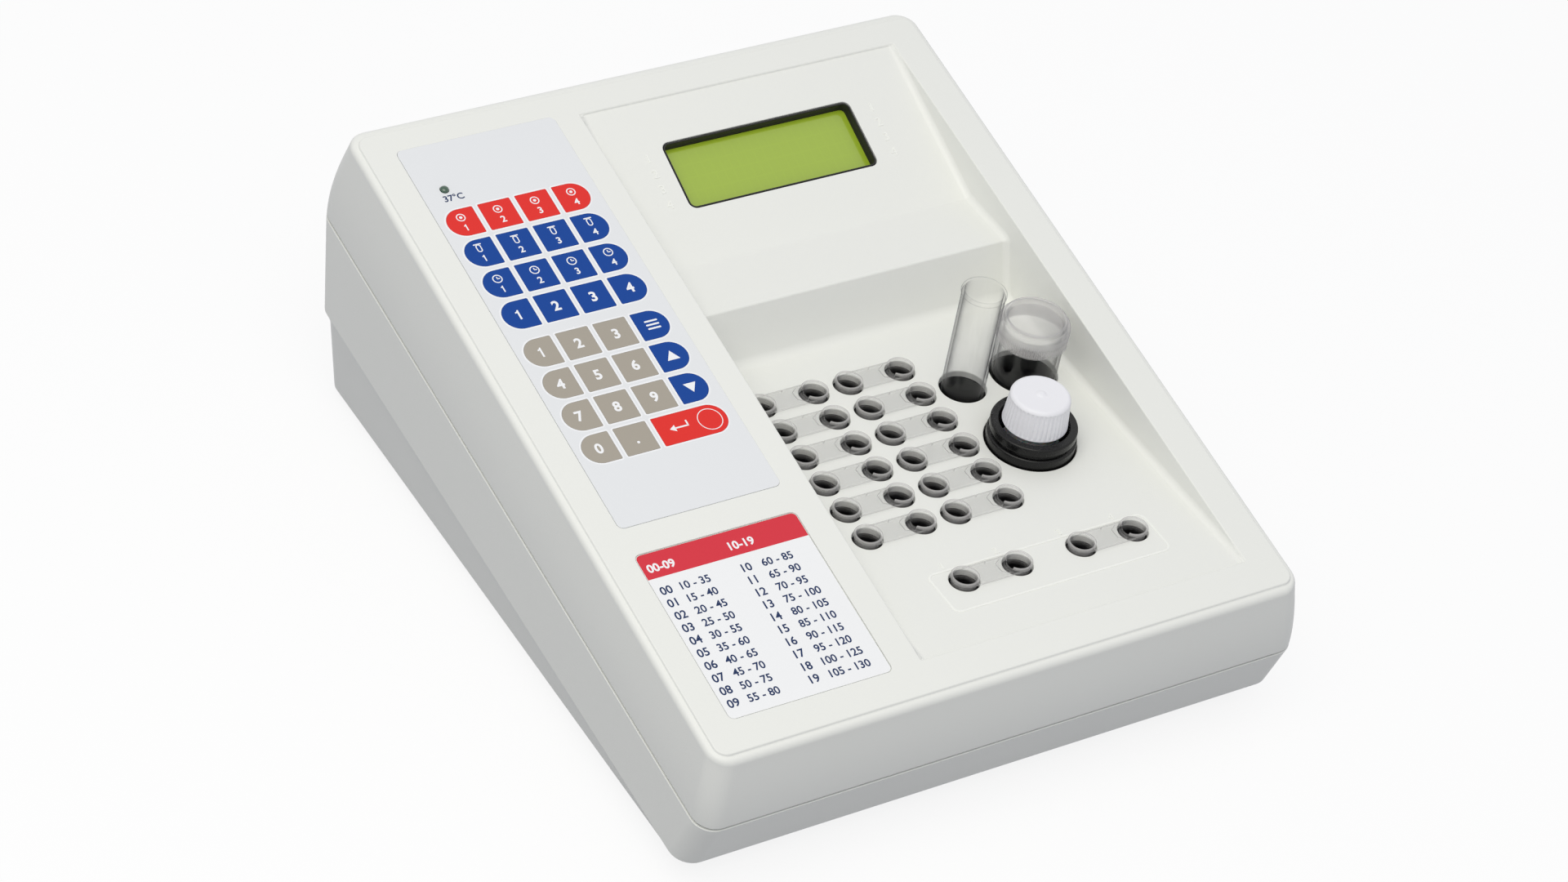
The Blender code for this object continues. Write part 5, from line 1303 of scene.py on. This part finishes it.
def socket_bar(grow, front, back):
    """The data socket's D drawn along y at its height."""
    level = board_top() + SOCKET_HEIGHT / 2
    width, height, slant, radius = 0.0169, 0.0083, 0.0008, 0.0012
    top, foot, half = width / 2 - radius, width / 2 - slant - radius, height / 2 - radius
    reach = radius + grow
    outline = []
    for quarter, (x, z) in enumerate(((top, half), (-top, half), (-foot, -half), (foot, -half))):
        for a in arc(5, quarter * pi / 2, (quarter + 1) * pi / 2):
            outline.append((SOCKET_X + x + reach * cos(a), level + z + reach * sin(a)))
    return loft([[(x, y, z) for x, z in outline] for y in (front, back)])


def socket_face():
    """How far back the plinth's wall stands at the data socket."""
    return body_box("main_board")[1].y - SOCKET_REACH


def socket_cutter():
    face = socket_face()
    return socket_bar(0.0005, face - WALL - OVERRUN, face + OVERRUN)


def data_socket():
    """Metal D shell with a black insert and nine pins, on a black body."""
    face = socket_face()
    reach = face + SOCKET_REACH
    top = board_top()
    level = top + SOCKET_HEIGHT / 2
    back = face - WALL - OVERLAP
    mouth = socket_bar(-0.0005, reach - 0.0050, reach + OVERRUN)
    shell = cut(socket_bar(0, back - OVERLAP, reach), mouth)
    insert = socket_bar(-0.0006, reach - 0.0052, reach - 0.0040)
    left, right = SOCKET_X - 0.0154, SOCKET_X + 0.0154
    body = block(left, right, back - 0.0110, back, top - BOARD_THICKNESS / 2, top + SOCKET_HEIGHT)
    profile = [(0.0005, 0)] + upper_round(0.0005, 0.0041, 0.0005)[:-1] + [(0.00005, 0.0041)]
    pin = moved(turned(profile, 12), Matrix.Rotation(-pi / 2, 4, "X"))
    pitch = 0.00277
    points = []
    for count, rise in ((5, 0.0014), (4, -0.0014)):
        for i in range(count):
            points.append((SOCKET_X + (i - (count - 1) / 2) * pitch, reach - 0.0044, level + rise))
    parts = [painted(shell, nickel()), painted(insert, black_lining())]
    parts += [painted(bevelled(body, 0.0005), black_lining()), repeated(pin, points, nickel())]
    return moved(gathered(parts), BODY)


inlet_outline = box_outline(*INLET_PLACE, 0.0468, 0.0268, 0.0004, 2)


def mains_inlet():
    """Flange, plug cavity with three blades, and the switch's window."""
    x, y = INLET_PLACE
    flange = soft_slab(box_outline(x, y, 0.0500, 0.0300, 0.0030), SEAT_GAP, INLET_FACE, 0.0005)
    entry = fused(flange, prism(inlet_outline(), -0.0240, SEAT_GAP + 0.0006))
    plug = box_outline(x + PLUG_ACROSS, y, 0.0245, 0.0165, 0.0045)
    window = box_outline(x + ROCKER_ACROSS, y, 0.0135, 0.0220, 0.0004, 2)
    for outline, depth in ((plug, PLUG_DEPTH), (window, 0.0110)):
        entry = cut(entry, shifted(soft_pocket(outline, depth, 0.0003), 0, 0, INLET_FACE))
    blade = soft_slab(box_outline(0, 0, 0.0020, 0.0040, 0.0003, 3), 0, 0.0125, 0.0004)
    foot = INLET_FACE - PLUG_DEPTH - OVERLAP
    blades = ((-0.0070, -0.0020), (0, 0.0020), (0.0070, -0.0020))
    points = [(x + PLUG_ACROSS + across, y + up, foot) for across, up in blades]
    return moved(gathered([painted(entry, black_moulding()), repeated(blade, points, nickel())]), REAR)


def mains_rocker():
    """A dished rocker in red polycarbonate with the usual line and circle."""
    half, top, foot, dish = 0.0103, 0.0044, -0.0050, 0.0012
    ink = 0.00003
    side = [(-half, top - 0.0003)]
    side += [(half * t, top - dish * (1 - t * t)) for t in [i / 8 for i in range(-8, 9)]]
    side += [(half, top - 0.0003), (half - 0.0025, foot), (-half + 0.0025, foot)]
    body = loft([[(x, y, z) for y, z in side] for x in (-0.00645, 0.00645)])
    parts = [painted(bevelled(body, 0.0003, 50), rocker_plastic())]
    for mark, t in ((bar_mark(0.0008, 0.0036, ink), 0.55), (ring_mark(0.0019, 0.0004, ink), -0.55)):
        lean = Matrix.Rotation(atan2(2 * dish * t, half), 4, "X")
        spot = Matrix.Translation((0, half * t, top - dish * (1 - t * t) - 0.00001))
        parts.append(painted(moved(mark, spot @ lean), white_ink()))
    x, y = INLET_PLACE
    pivot = Matrix.Translation((x + ROCKER_ACROSS, y, INLET_FACE - 0.0030))
    return moved(gathered(parts), REAR @ pivot @ Matrix.Rotation(radians(-8), 4, "X"))


# Cuvettes and vessels


ON_AXIS = 0.00001


def set_up(mesh, name, look, height=0.0):
    """A shape turned round the origin, moved over the middle of its CAD node."""
    x, y = vessel_centre(name).xy
    return moved(painted(shifted(mesh, x, y, height), look), BODY)


def ribbed(profile, steps, ribs, depth, inner_radius, low, high, look):
    """A turned shape with rounded ribs round its outside between two heights."""
    wall = turned(profile, ribs * steps)
    limits = {"inner_radius": inner_radius, "low": low, "high": high}
    return through_nodes(wall, fluted_wall(), ribs=ribs, depth=depth, material=look, **limits)


def cuvette():
    """Two tapered cups on a common web, the right one open to a small stepped tray."""
    c = bpy.context.scene.analyzer_cuvettes
    web_low, web_top, rim_top = 0.0003, 0.0014, 0.0022
    half = 0.0045
    rim = c.rim_radius
    outline = box_outline(c.pitch / 2, 0, c.pitch + 2 * half, 2 * half, half - 0.0001, 16)
    body = soft_slab(outline, web_low, web_top, 0.0002, 0.0002)
    outer = lower_round(0.0042, -c.depth, 0.0004, 3) + [(0.0045, web_low + 0.0004)]
    outer += [(rim - 0.0001, web_low + 0.0006), (rim, web_low + 0.0008)]
    outer += upper_round(rim, rim_top, 0.0003)
    inner = lower_round(0.0036, 0.0008 - c.depth, 0.0006)
    inner += [(0.0039, 0.0010), (0.0041, rim_top - 0.0003)]
    inner += [(0.0043, rim_top + 0.0001), (0.0043, rim_top + OVERRUN)]
    for x in (0, c.pitch):
        body = fused(body, shifted(turned(outer, 48), x, 0))
    cavities = [shifted(turned(inner, 48), x, 0) for x in (0, c.pitch)]
    side = [(-0.0034, 0.0025), (-0.0052, 0.0037), (-0.0078, 0.0020)]
    tray = [(c.pitch + x, y) for x, y in side + [(x, -y) for x, y in reversed(side)]]
    recess = prism(tray, web_top - 0.0005, rim_top + OVERRUN)
    pip = [c.pitch / 2 - 0.0002, c.pitch / 2 + 0.0002, half - 0.0004, half + OVERRUN]
    pip = block(*pip, web_low - OVERRUN, web_top + OVERRUN)
    return painted(cut(body, gathered(cavities), recess, pip), clear_polystyrene())


def sample_tube():
    """A clear tube with a round bottom and a rolled rim."""
    v = bpy.context.scene.analyzer_vessels
    low, high = body_box("sample_tube")
    r, inner, top = v.tube_radius, v.tube_radius - v.tube_wall, high.z
    middle = low.z + r
    profile = [(r * sin(a) + ON_AXIS, middle - r * cos(a)) for a in arc(12, 0.02)]
    profile.append((r, top - 0.0016))
    turns = arc(10, pi / 4, pi * 1.15)
    profile += [(r - 0.00045 + 0.00085 * sin(a), top - 0.0008 - 0.0008 * cos(a)) for a in turns]
    profile.append((inner, top - 0.0016))
    profile += [(inner * cos(a) + ON_AXIS, middle - inner * sin(a)) for a in arc(12, 0, pi / 2 - 0.02)]
    return set_up(turned(profile, 96), "sample_tube", tube_plastic())


def stirring_vial():
    low, high = body_box("reagent_vial")
    r, wall, foot = bpy.context.scene.analyzer_vessels.vial_radius, 0.0011, 0.0012
    profile = [(ON_AXIS, low.z)] + lower_round(r, low.z, foot, 5) + upper_round(r, high.z, 0.0002, 3)
    profile += [(r - wall, high.z - 0.0001)] + lower_round(r - wall, low.z + wall, foot, 5)[::-1]
    profile.append((ON_AXIS, low.z + wall))
    return set_up(turned(profile, 96), "reagent_vial", tube_plastic())


def vial_lid():
    """Snap lid with a dished top inside a raised ring, and a finely ribbed skirt."""
    v = bpy.context.scene.analyzer_vessels
    inside, outside, foot, top = v.vial_radius + 0.0004, v.lid_radius, -0.0053, 0.0042
    ring = 0.0110
    profile = [(ON_AXIS, SEAT_GAP), (inside - 0.0003, SEAT_GAP), (inside, SEAT_GAP - 0.0003)]
    profile += [(inside, foot + 0.0002), (inside + 0.0002, foot), (outside - 0.0002, foot)]
    heights = (foot + 0.0002, foot + 0.0006, foot + 0.0022, -0.0016, -0.0010, 0.0010)
    profile += [(outside, height) for height in heights]
    profile += [(ring + 0.0004 + 0.0013 * cos(a), 0.0010 + 0.0017 * sin(a)) for a in arc(5)[1:]]
    profile += [(ring + 0.0001, 0.0032), (ring + 0.0001, top - 0.0003)]
    turns = arc(6, pi / 6, pi * 0.9)
    profile += [(ring - 0.0004 + 0.0005 * cos(a), top - 0.0004 + 0.0004 * sin(a)) for a in turns]
    profile += [(ring - 0.0009, top - 0.0012), (ring - 0.0014, top - 0.0020), (ON_AXIS, top - 0.0020)]
    limits = (outside - 0.0002, foot + 0.0004, -0.0012)
    lid = ribbed(profile, 4, v.lid_ribs, 0.00045, *limits, lid_plastic())
    return set_up(lid, "vial_lid", lid_plastic(), body_box("reagent_vial")[1].z)


def bottle_adapter():
    """Black sleeve with a floor and two proud rings above the recess floor."""
    inside, low = 0.0120, -0.0315
    edge = 0.0007
    profile = [(ON_AXIS, low), (0.0152, low), (0.0156, low + 0.0004), (0.0156, -0.0002)]
    profile += lower_round(0.0158, 0.0002, edge) + upper_round(0.0158, 0.0048, edge)
    profile += [(0.0146, 0.0050), (0.0145, 0.0056)]
    profile += lower_round(0.0153, 0.0060, edge) + upper_round(0.0153, 0.0095, edge)
    profile += [(inside + 0.0006, 0.0095), (inside + 0.0001, 0.0091), (inside, 0.0085)]
    profile += [(inside, low + 0.0024), (inside - 0.0004, low + 0.0020), (ON_AXIS, low + 0.0020)]
    return set_up(turned(profile, 96), "bottle_adapter", black_moulding())


def reagent_bottle():
    """Bottle with a round shoulder, a threaded neck and a slightly raised middle in its foot."""
    low, top = [corner.z for corner in body_box("reagent_bottle")]
    radius, neck, mouth = 0.0116, 0.0080, 0.0068
    inner = radius - 0.0012
    profile = [(ON_AXIS, low + 0.0004), (radius - 0.0025, low + 0.0003), (radius - 0.0020, low)]
    profile += lower_round(radius, low, 0.0012, 5) + [(radius, -0.0030)]
    profile += [(neck + 0.0036 * cos(a), 0.0045 * sin(a) - 0.0028) for a in arc(6)[1:-1]]
    profile += [(neck, 0.0030)]
    for turn in range(3):
        z = 0.0120 + turn * 0.0026
        profile += [(neck, z - 0.0006), (neck + 0.0003, z), (neck, z + 0.0006)]
    profile += [(neck, top - 0.0003), (neck - 0.0002, top), (mouth + 0.0002, top)]
    profile += [(mouth, top - 0.0003), (mouth, 0.0012), (inner, -0.0040)]
    profile += [(inner, low + 0.0024), (inner - 0.0008, low + 0.0014), (ON_AXIS, low + 0.0016)]
    return set_up(turned(profile, 96), "reagent_bottle", bottle_plastic())


def bottle_cap():
    """Ribbed screw cap, round at its top edge, with a small moulding point in the middle."""
    low, high = 0.0097, 0.0220
    foot, head, edge, inside = 0.0115, 0.0107, 0.0017, 0.0084
    top = 0.0208
    profile = [(ON_AXIS, top), (inside - 0.0003, top), (inside, top - 0.0003)]
    profile += [(inside, low + 0.0003), (inside + 0.0003, low)]
    profile += [(foot - 0.0003, low), (foot, low + 0.0003)]
    profile += [(foot - 0.00005, low + 0.0009), (foot - 0.0001, low + 0.0014)]
    for share in (0.25, 0.5, 0.75):
        profile.append((mix(foot - 0.0001, head, share), mix(low + 0.0014, high - 0.0022, share)))
    profile += [(head, high - 0.0022)] + upper_round(head, high, edge, 6)
    profile += [(0.0088, high - 0.00005), (0.0022, high - 0.0001), (0.0018, high)]
    profile += [(0.0013, high + 0.0004), (0.0008, high + 0.0005), (ON_AXIS, high + 0.0005)]
    ribs = bpy.context.scene.analyzer_vessels.cap_ribs
    cap = ribbed(profile, 6, ribs, 0.0005, head - 0.0003, low + 0.0010, high - 0.0014, white_cap())
    return set_up(cap, "bottle_cap", white_cap())


# Studio


def studio_floor(stage):
    """A pale floor that shows as near white to the camera and keeps the object's shadow."""
    mesh = bpy.data.meshes.new("studio_floor")
    half = stage.floor_size / 2
    corners = [(x * half, y * half, 0) for x, y in ((-1, -1), (1, -1), (1, 1), (-1, 1))]
    mesh.from_pydata(corners, [], [range(4)])
    look = bpy.data.materials.new("studio_floor")
    look.use_nodes = True
    tree = look.node_tree
    shader = tree.nodes["Principled BSDF"]
    shader.inputs["Roughness"].default_value = 0.9
    shader.inputs["Specular IOR Level"].default_value = 0.0
    white = add_node(tree, "ShaderNodeEmission", {"Color": (1, 1, 1, 1), "Strength": 1.0})
    seen = light_path(tree)
    dull = [stage.floor_bounce * share for share in (0.96, 0.98, 1.04)] + [1.0]
    tone = add_node(tree, "ShaderNodeMix", {0: seen, 6: dull, 7: linear("#F8F8F8")}, data_type="RGBA")
    tree.links.new(tone.outputs[2], shader.inputs["Base Color"])
    share = add_node(tree, "ShaderNodeMath", {0: seen, 1: stage.floor_white}, operation="MULTIPLY")
    blend = add_node(tree, "ShaderNodeMixShader", {0: share, 1: shader, 2: white})
    clear = add_node(tree, "ShaderNodeBsdfTransparent")
    under = add_node(tree, "ShaderNodeNewGeometry").outputs["Backfacing"]
    both = add_node(tree, "ShaderNodeMixShader", {0: under, 1: blend, 2: clear})
    tree.links.new(both.outputs[0], tree.nodes["Material Output"].inputs["Surface"])
    mesh.materials.append(look)
    floor = bpy.data.objects.new("studio_floor", mesh)
    bpy.context.scene.collection.objects.link(floor)


def light_path(tree):
    """1 for the rays that show the backdrop: to the camera, in gloss and through glass."""
    path = add_node(tree, "ShaderNodeLightPath").outputs
    seen = path["Is Camera Ray"]
    for kind in ("Is Glossy Ray", "Is Transmission Ray"):
        seen = add_node(tree, "ShaderNodeMath", {0: seen, 1: path[kind]}, operation="MAXIMUM")
    return seen


def studio_world(stage):
    world = bpy.data.worlds.new("studio")
    world.use_nodes = True
    tree = world.node_tree
    sky = tree.nodes["Background"]
    sky.inputs["Color"].default_value = linear("#F4F6FF")
    sky.inputs["Strength"].default_value = stage.sky_strength
    white = add_node(tree, "ShaderNodeBackground", {"Color": (1, 1, 1, 1), "Strength": 1.0})
    seen = light_path(tree)
    blend = add_node(tree, "ShaderNodeMixShader", {0: seen, 1: sky, 2: white})
    tree.links.new(blend.outputs[0], tree.nodes["World Output"].inputs["Surface"])
    bpy.context.scene.world = world


def area_lamp(name, place, aim, size, power):
    data = bpy.data.lights.new(name, "AREA")
    data.shape = "DISK"
    data.size = size
    data.energy = power
    data.color = linear("#FFFCF0")[:3]
    lamp = bpy.data.objects.new(name, data)
    lamp.location = place
    lamp.rotation_euler = (Vector(aim) - Vector(place)).to_track_quat("-Z", "Y").to_euler()
    bpy.context.scene.collection.objects.link(lamp)


def camera(stage):
    """The camera at the photograph's viewing angle, rolled as the photograph is."""
    data = bpy.data.cameras.new("camera")
    data.lens = stage.lens
    data.sensor_width = 36
    made = bpy.data.objects.new("camera", data)
    level = cos(stage.elevation)
    back = Vector((sin(stage.azimuth) * level, -cos(stage.azimuth) * level, sin(stage.elevation)))
    turn = (-back).to_track_quat("-Z", "Y").to_matrix().to_4x4() @ Matrix.Rotation(stage.roll, 4, "Z")
    made.matrix_world = Matrix.Translation(Vector(stage.aim) + back * stage.distance) @ turn
    bpy.context.scene.collection.objects.link(made)
    bpy.context.scene.camera = made


# Settings


def number(name, description, default, **limits):
    return FloatProperty(name=name, description=description, default=default, **limits)


def length(name, description, millimetres):
    return number(name, description, millimetres / 1000, unit="LENGTH", precision=5)


def angle(name, description, degrees):
    return number(name, description, radians(degrees), subtype="ANGLE")


def ribs(name, description, count):
    return IntProperty(name=name, description=description, default=count, min=12)


def tint(name, description, code):
    return FloatVectorProperty(
        name=name, description=description, default=linear(code)[:3], subtype="COLOR", min=0, max=1
    )


class HousingSettings(bpy.types.PropertyGroup):
    plastic: tint("Plastic", "Colour of the two shells", "#ECEDE8")
    edge_radius: length("Deck edge", "Radius on the raised deck's edge", 0.5)
    rim_radius: length("Recess edge", "Radius where the deck meets the recess", 0.5)
    relief: length("Relief", "Height of the raised numerals and frame line", 0.25)


class KeypadSettings(bpy.types.PropertyGroup):
    film: tint("Film", "Colour of the film between the keys", "#E6E8EA")
    red: tint("Red keys", "Ink of the top row and of the wide key", "#E2332D")
    blue: tint("Blue keys", "Ink of the function keys", "#0C4396")
    grey: tint("Grey keys", "Ink of the number keys", "#A9A296")
    key_height: length("Key height", "From the underside of a key to its face", 0.48)
    key_edge: length("Key edge", "Radius on the upper edge of a key", 0.1)
    ink_thickness: length("Ink thickness", "How far printed signs stand on a key", 0.02)


class DisplaySettings(bpy.types.PropertyGroup):
    glass: tint("Glass", "Colour of the unlit display", "#9DB826")
    across: length("Across", "Middle of the window from the middle of the housing", 33.2)
    down: length("Down", "Middle of the window down the panel from its upper edge", 31.15)
    width: length("Width", "Width of the window", 75.8)
    height: length("Height", "Height of the window", 25.7)
    corner: length("Corner", "Corner radius of the window", 2.0)
    depth: length("Depth", "How deep the glass lies below the panel", 4.0)


class CuvetteSettings(bpy.types.PropertyGroup):
    rim_radius: length("Rim radius", "Radius of each cup's rim", 4.95)
    pitch: length("Pitch", "Distance between a cuvette's two cups", 21.2)
    depth: length("Depth", "How far the cups reach below the recess floor", 23.2)


class VesselSettings(bpy.types.PropertyGroup):
    tube_radius: length("Tube radius", "Outer radius of the sample tube", 7.7)
    tube_wall: length("Tube wall", "Wall of the sample tube", 0.9)
    vial_radius: length("Vial radius", "Outer radius of the vial", 11.6)
    lid_radius: length("Lid radius", "Outer radius of the vial's lid", 12.7)
    lid_ribs: ribs("Lid ribs", "Ribs round the lid's skirt", 108)
    cap_ribs: ribs("Cap ribs", "Ribs round the bottle's cap", 42)


class StageSettings(bpy.types.PropertyGroup):
    azimuth: angle("Azimuth", "Camera's turn round the object", -37.623)
    elevation: angle("Elevation", "Camera's height as an angle", 39.916)
    roll: angle("Roll", "Camera's roll", 11.117)
    lens: number("Lens", "Focal length in millimetres", 101.93)
    aim: FloatVectorProperty(
        name="Aim",
        description="Point at the middle of the image",
        default=(-0.01596, -0.01218, 0.0606),
        subtype="XYZ",
    )
    distance: length("Distance", "From the camera to that point", 1505.67)
    floor_size: length("Floor", "Side of the floor", 6000)
    floor_white: number("Floor white", "Share of plain white in the floor seen", 0.86, min=0, max=1)
    floor_bounce: number("Floor bounce", "How much light the floor throws back up", 0.33, min=0, max=1)
    sky_strength: number("Sky", "Strength of the even light from all round", 0.6, min=0)
    lamp_power: number("Lamp", "Power of the lamp overhead", 11.3, min=0, subtype="POWER")


# Operators


class ANALYZER_OT_cover(bpy.types.Operator):
    """Build the upper shell and its raised numerals"""

    bl_idname = "analyzer.cover"
    bl_label = "Cover"

    def execute(self, context):
        cover = moved(housing_cover(), BODY)
        piece("cover", painted(cover, moulded_housing()), "housing", ["top_cover"])
        piece("cover_relief", raised_figures(), "housing")
        return {"FINISHED"}


class ANALYZER_OT_base(bpy.types.Operator):
    """Build the lower shell, its pads and its screws"""

    bl_idname = "analyzer.base"
    bl_label = "Base"

    def execute(self, context):
        base = moved(housing_base(), BODY)
        piece("base", painted(base, moulded_housing()), "housing", ["base_tray"])
        piece("pads", bench_pads(), "housing")
        piece("base_screws", housing_screws(), "housing")
        return {"FINISHED"}


class ANALYZER_OT_keypad(bpy.types.Operator):
    """Build the film, every key and the status lamp"""

    bl_idname = "analyzer.keypad"
    bl_label = "Keypad"

    def execute(self, context):
        piece("film", keypad_film(), "housing", ["keypad_overlay"])
        piece("status_lamp", moved(status_lamp(), DECK), "housing")
        for name in key_names():
            piece("printed_" + name, key_shape(name), name, [name])
        return {"FINISHED"}


class ANALYZER_OT_card(bpy.types.Operator):
    """Build the numbered card in front of the keypad"""

    bl_idname = "analyzer.card"
    bl_label = "Card"

    def execute(self, context):
        piece("card", test_card(), "housing", ["test_list_card"])
        return {"FINISHED"}


class ANALYZER_OT_display(bpy.types.Operator):
    """Build the display's glass, its lining and its board"""

    bl_idname = "analyzer.display"
    bl_label = "Display"

    def execute(self, context):
        piece("display_lining", display_lining(), "housing", ["lcd_module"])
        piece("display_glass", display_face(), "housing", ["lcd_module"])
        piece("display_board", display_board(), "housing", ["lcd_module"])
        return {"FINISHED"}


class ANALYZER_OT_inside(bpy.types.Operator):
    """Build the heated block and the main board with its data socket"""

    bl_idname = "analyzer.inside"
    bl_label = "Inside"

    def execute(self, context):
        piece("heated_block", heated_block(), "housing", ["thermo_block"])
        piece("circuit_board", circuit_board(), "housing", ["main_board"])
        piece("board_parts", board_parts(), "housing", ["main_board"])
        piece("data_socket", data_socket(), "housing", ["main_board"])
        return {"FINISHED"}


class ANALYZER_OT_mains(bpy.types.Operator):
    """Build the mains inlet and its rocker switch"""

    bl_idname = "analyzer.mains"
    bl_label = "Mains inlet"

    def execute(self, context):
        piece("inlet", mains_inlet(), "housing", ["power_entry"])
        piece("rocker", mains_rocker(), "power_rocker", ["power_rocker"])
        return {"FINISHED"}


class ANALYZER_OT_cuvettes(bpy.types.Operator):
    """Build the double cuvettes, one in each pair of wells"""

    bl_idname = "analyzer.cuvettes"
    bl_label = "Cuvettes"

    def execute(self, context):
        shape = cuvette()
        for name, spot in well_places().items():
            mesh = shifted(shape.copy(), spot.x, spot.y, FLOOR_LEVEL)
            piece("clear_" + name, moved(mesh, BODY), name, [name])
        return {"FINISHED"}


class ANALYZER_OT_vessels(bpy.types.Operator):
    """Build the sample tube, the vial with its lid, and the bottle in its adapter"""

    bl_idname = "analyzer.vessels"
    bl_label = "Vessels"

    def execute(self, context):
        piece("tube", sample_tube(), "sample_tube", ["sample_tube"])
        piece("vial", stirring_vial(), "reagent_vial", ["reagent_vial"])
        piece("lid", vial_lid(), "vial_lid", ["vial_lid"])
        piece("adapter", bottle_adapter(), "bottle_adapter", ["bottle_adapter"])
        piece("bottle", reagent_bottle(), "reagent_bottle", ["reagent_bottle"])
        piece("cap", bottle_cap(), "bottle_cap", ["bottle_cap"])
        return {"FINISHED"}


class ANALYZER_OT_stage(bpy.types.Operator):
    """Set the floor, the light and the camera"""

    bl_idname = "analyzer.stage"
    bl_label = "Stage"

    def execute(self, context):
        stage = context.scene.analyzer_stage
        context.scene.view_settings.view_transform = "Standard"
        studio_floor(stage)
        studio_world(stage)
        area_lamp("overhead", (-0.5, -0.34, 1.4), (0, 0, 0.05), 1.4, stage.lamp_power)
        camera(stage)
        return {"FINISHED"}


class ANALYZER_PT_panel(bpy.types.Panel):
    """Lists the pieces that can be built"""

    bl_idname = "ANALYZER_PT_panel"
    bl_label = "Coagulation analyzer"
    bl_space_type = "VIEW_3D"
    bl_region_type = "UI"
    bl_category = "Analyzer"

    def draw(self, context):
        for operator in OPERATORS:
            self.layout.operator(operator.bl_idname)


GROUPS = {
    "analyzer_housing": HousingSettings,
    "analyzer_keypad": KeypadSettings,
    "analyzer_display": DisplaySettings,
    "analyzer_cuvettes": CuvetteSettings,
    "analyzer_vessels": VesselSettings,
    "analyzer_stage": StageSettings,
}
OPERATORS = (
    ANALYZER_OT_cover,
    ANALYZER_OT_base,
    ANALYZER_OT_keypad,
    ANALYZER_OT_card,
    ANALYZER_OT_display,
    ANALYZER_OT_inside,
    ANALYZER_OT_mains,
    ANALYZER_OT_cuvettes,
    ANALYZER_OT_vessels,
    ANALYZER_OT_stage,
)


def register():
    for cls in (*GROUPS.values(), *OPERATORS, ANALYZER_PT_panel):
        bpy.utils.register_class(cls)
    for name, group in GROUPS.items():
        setattr(bpy.types.Scene, name, PointerProperty(type=group))


def unregister():
    for name in GROUPS:
        delattr(bpy.types.Scene, name)
    for cls in (ANALYZER_PT_panel, *reversed(OPERATORS), *reversed(GROUPS.values())):
        bpy.utils.unregister_class(cls)


def main():
    register()
    for operator in OPERATORS:
        name = operator.bl_idname.split(".")[1]
        getattr(bpy.ops.analyzer, name)()


if __name__ == "__main__":
    main()
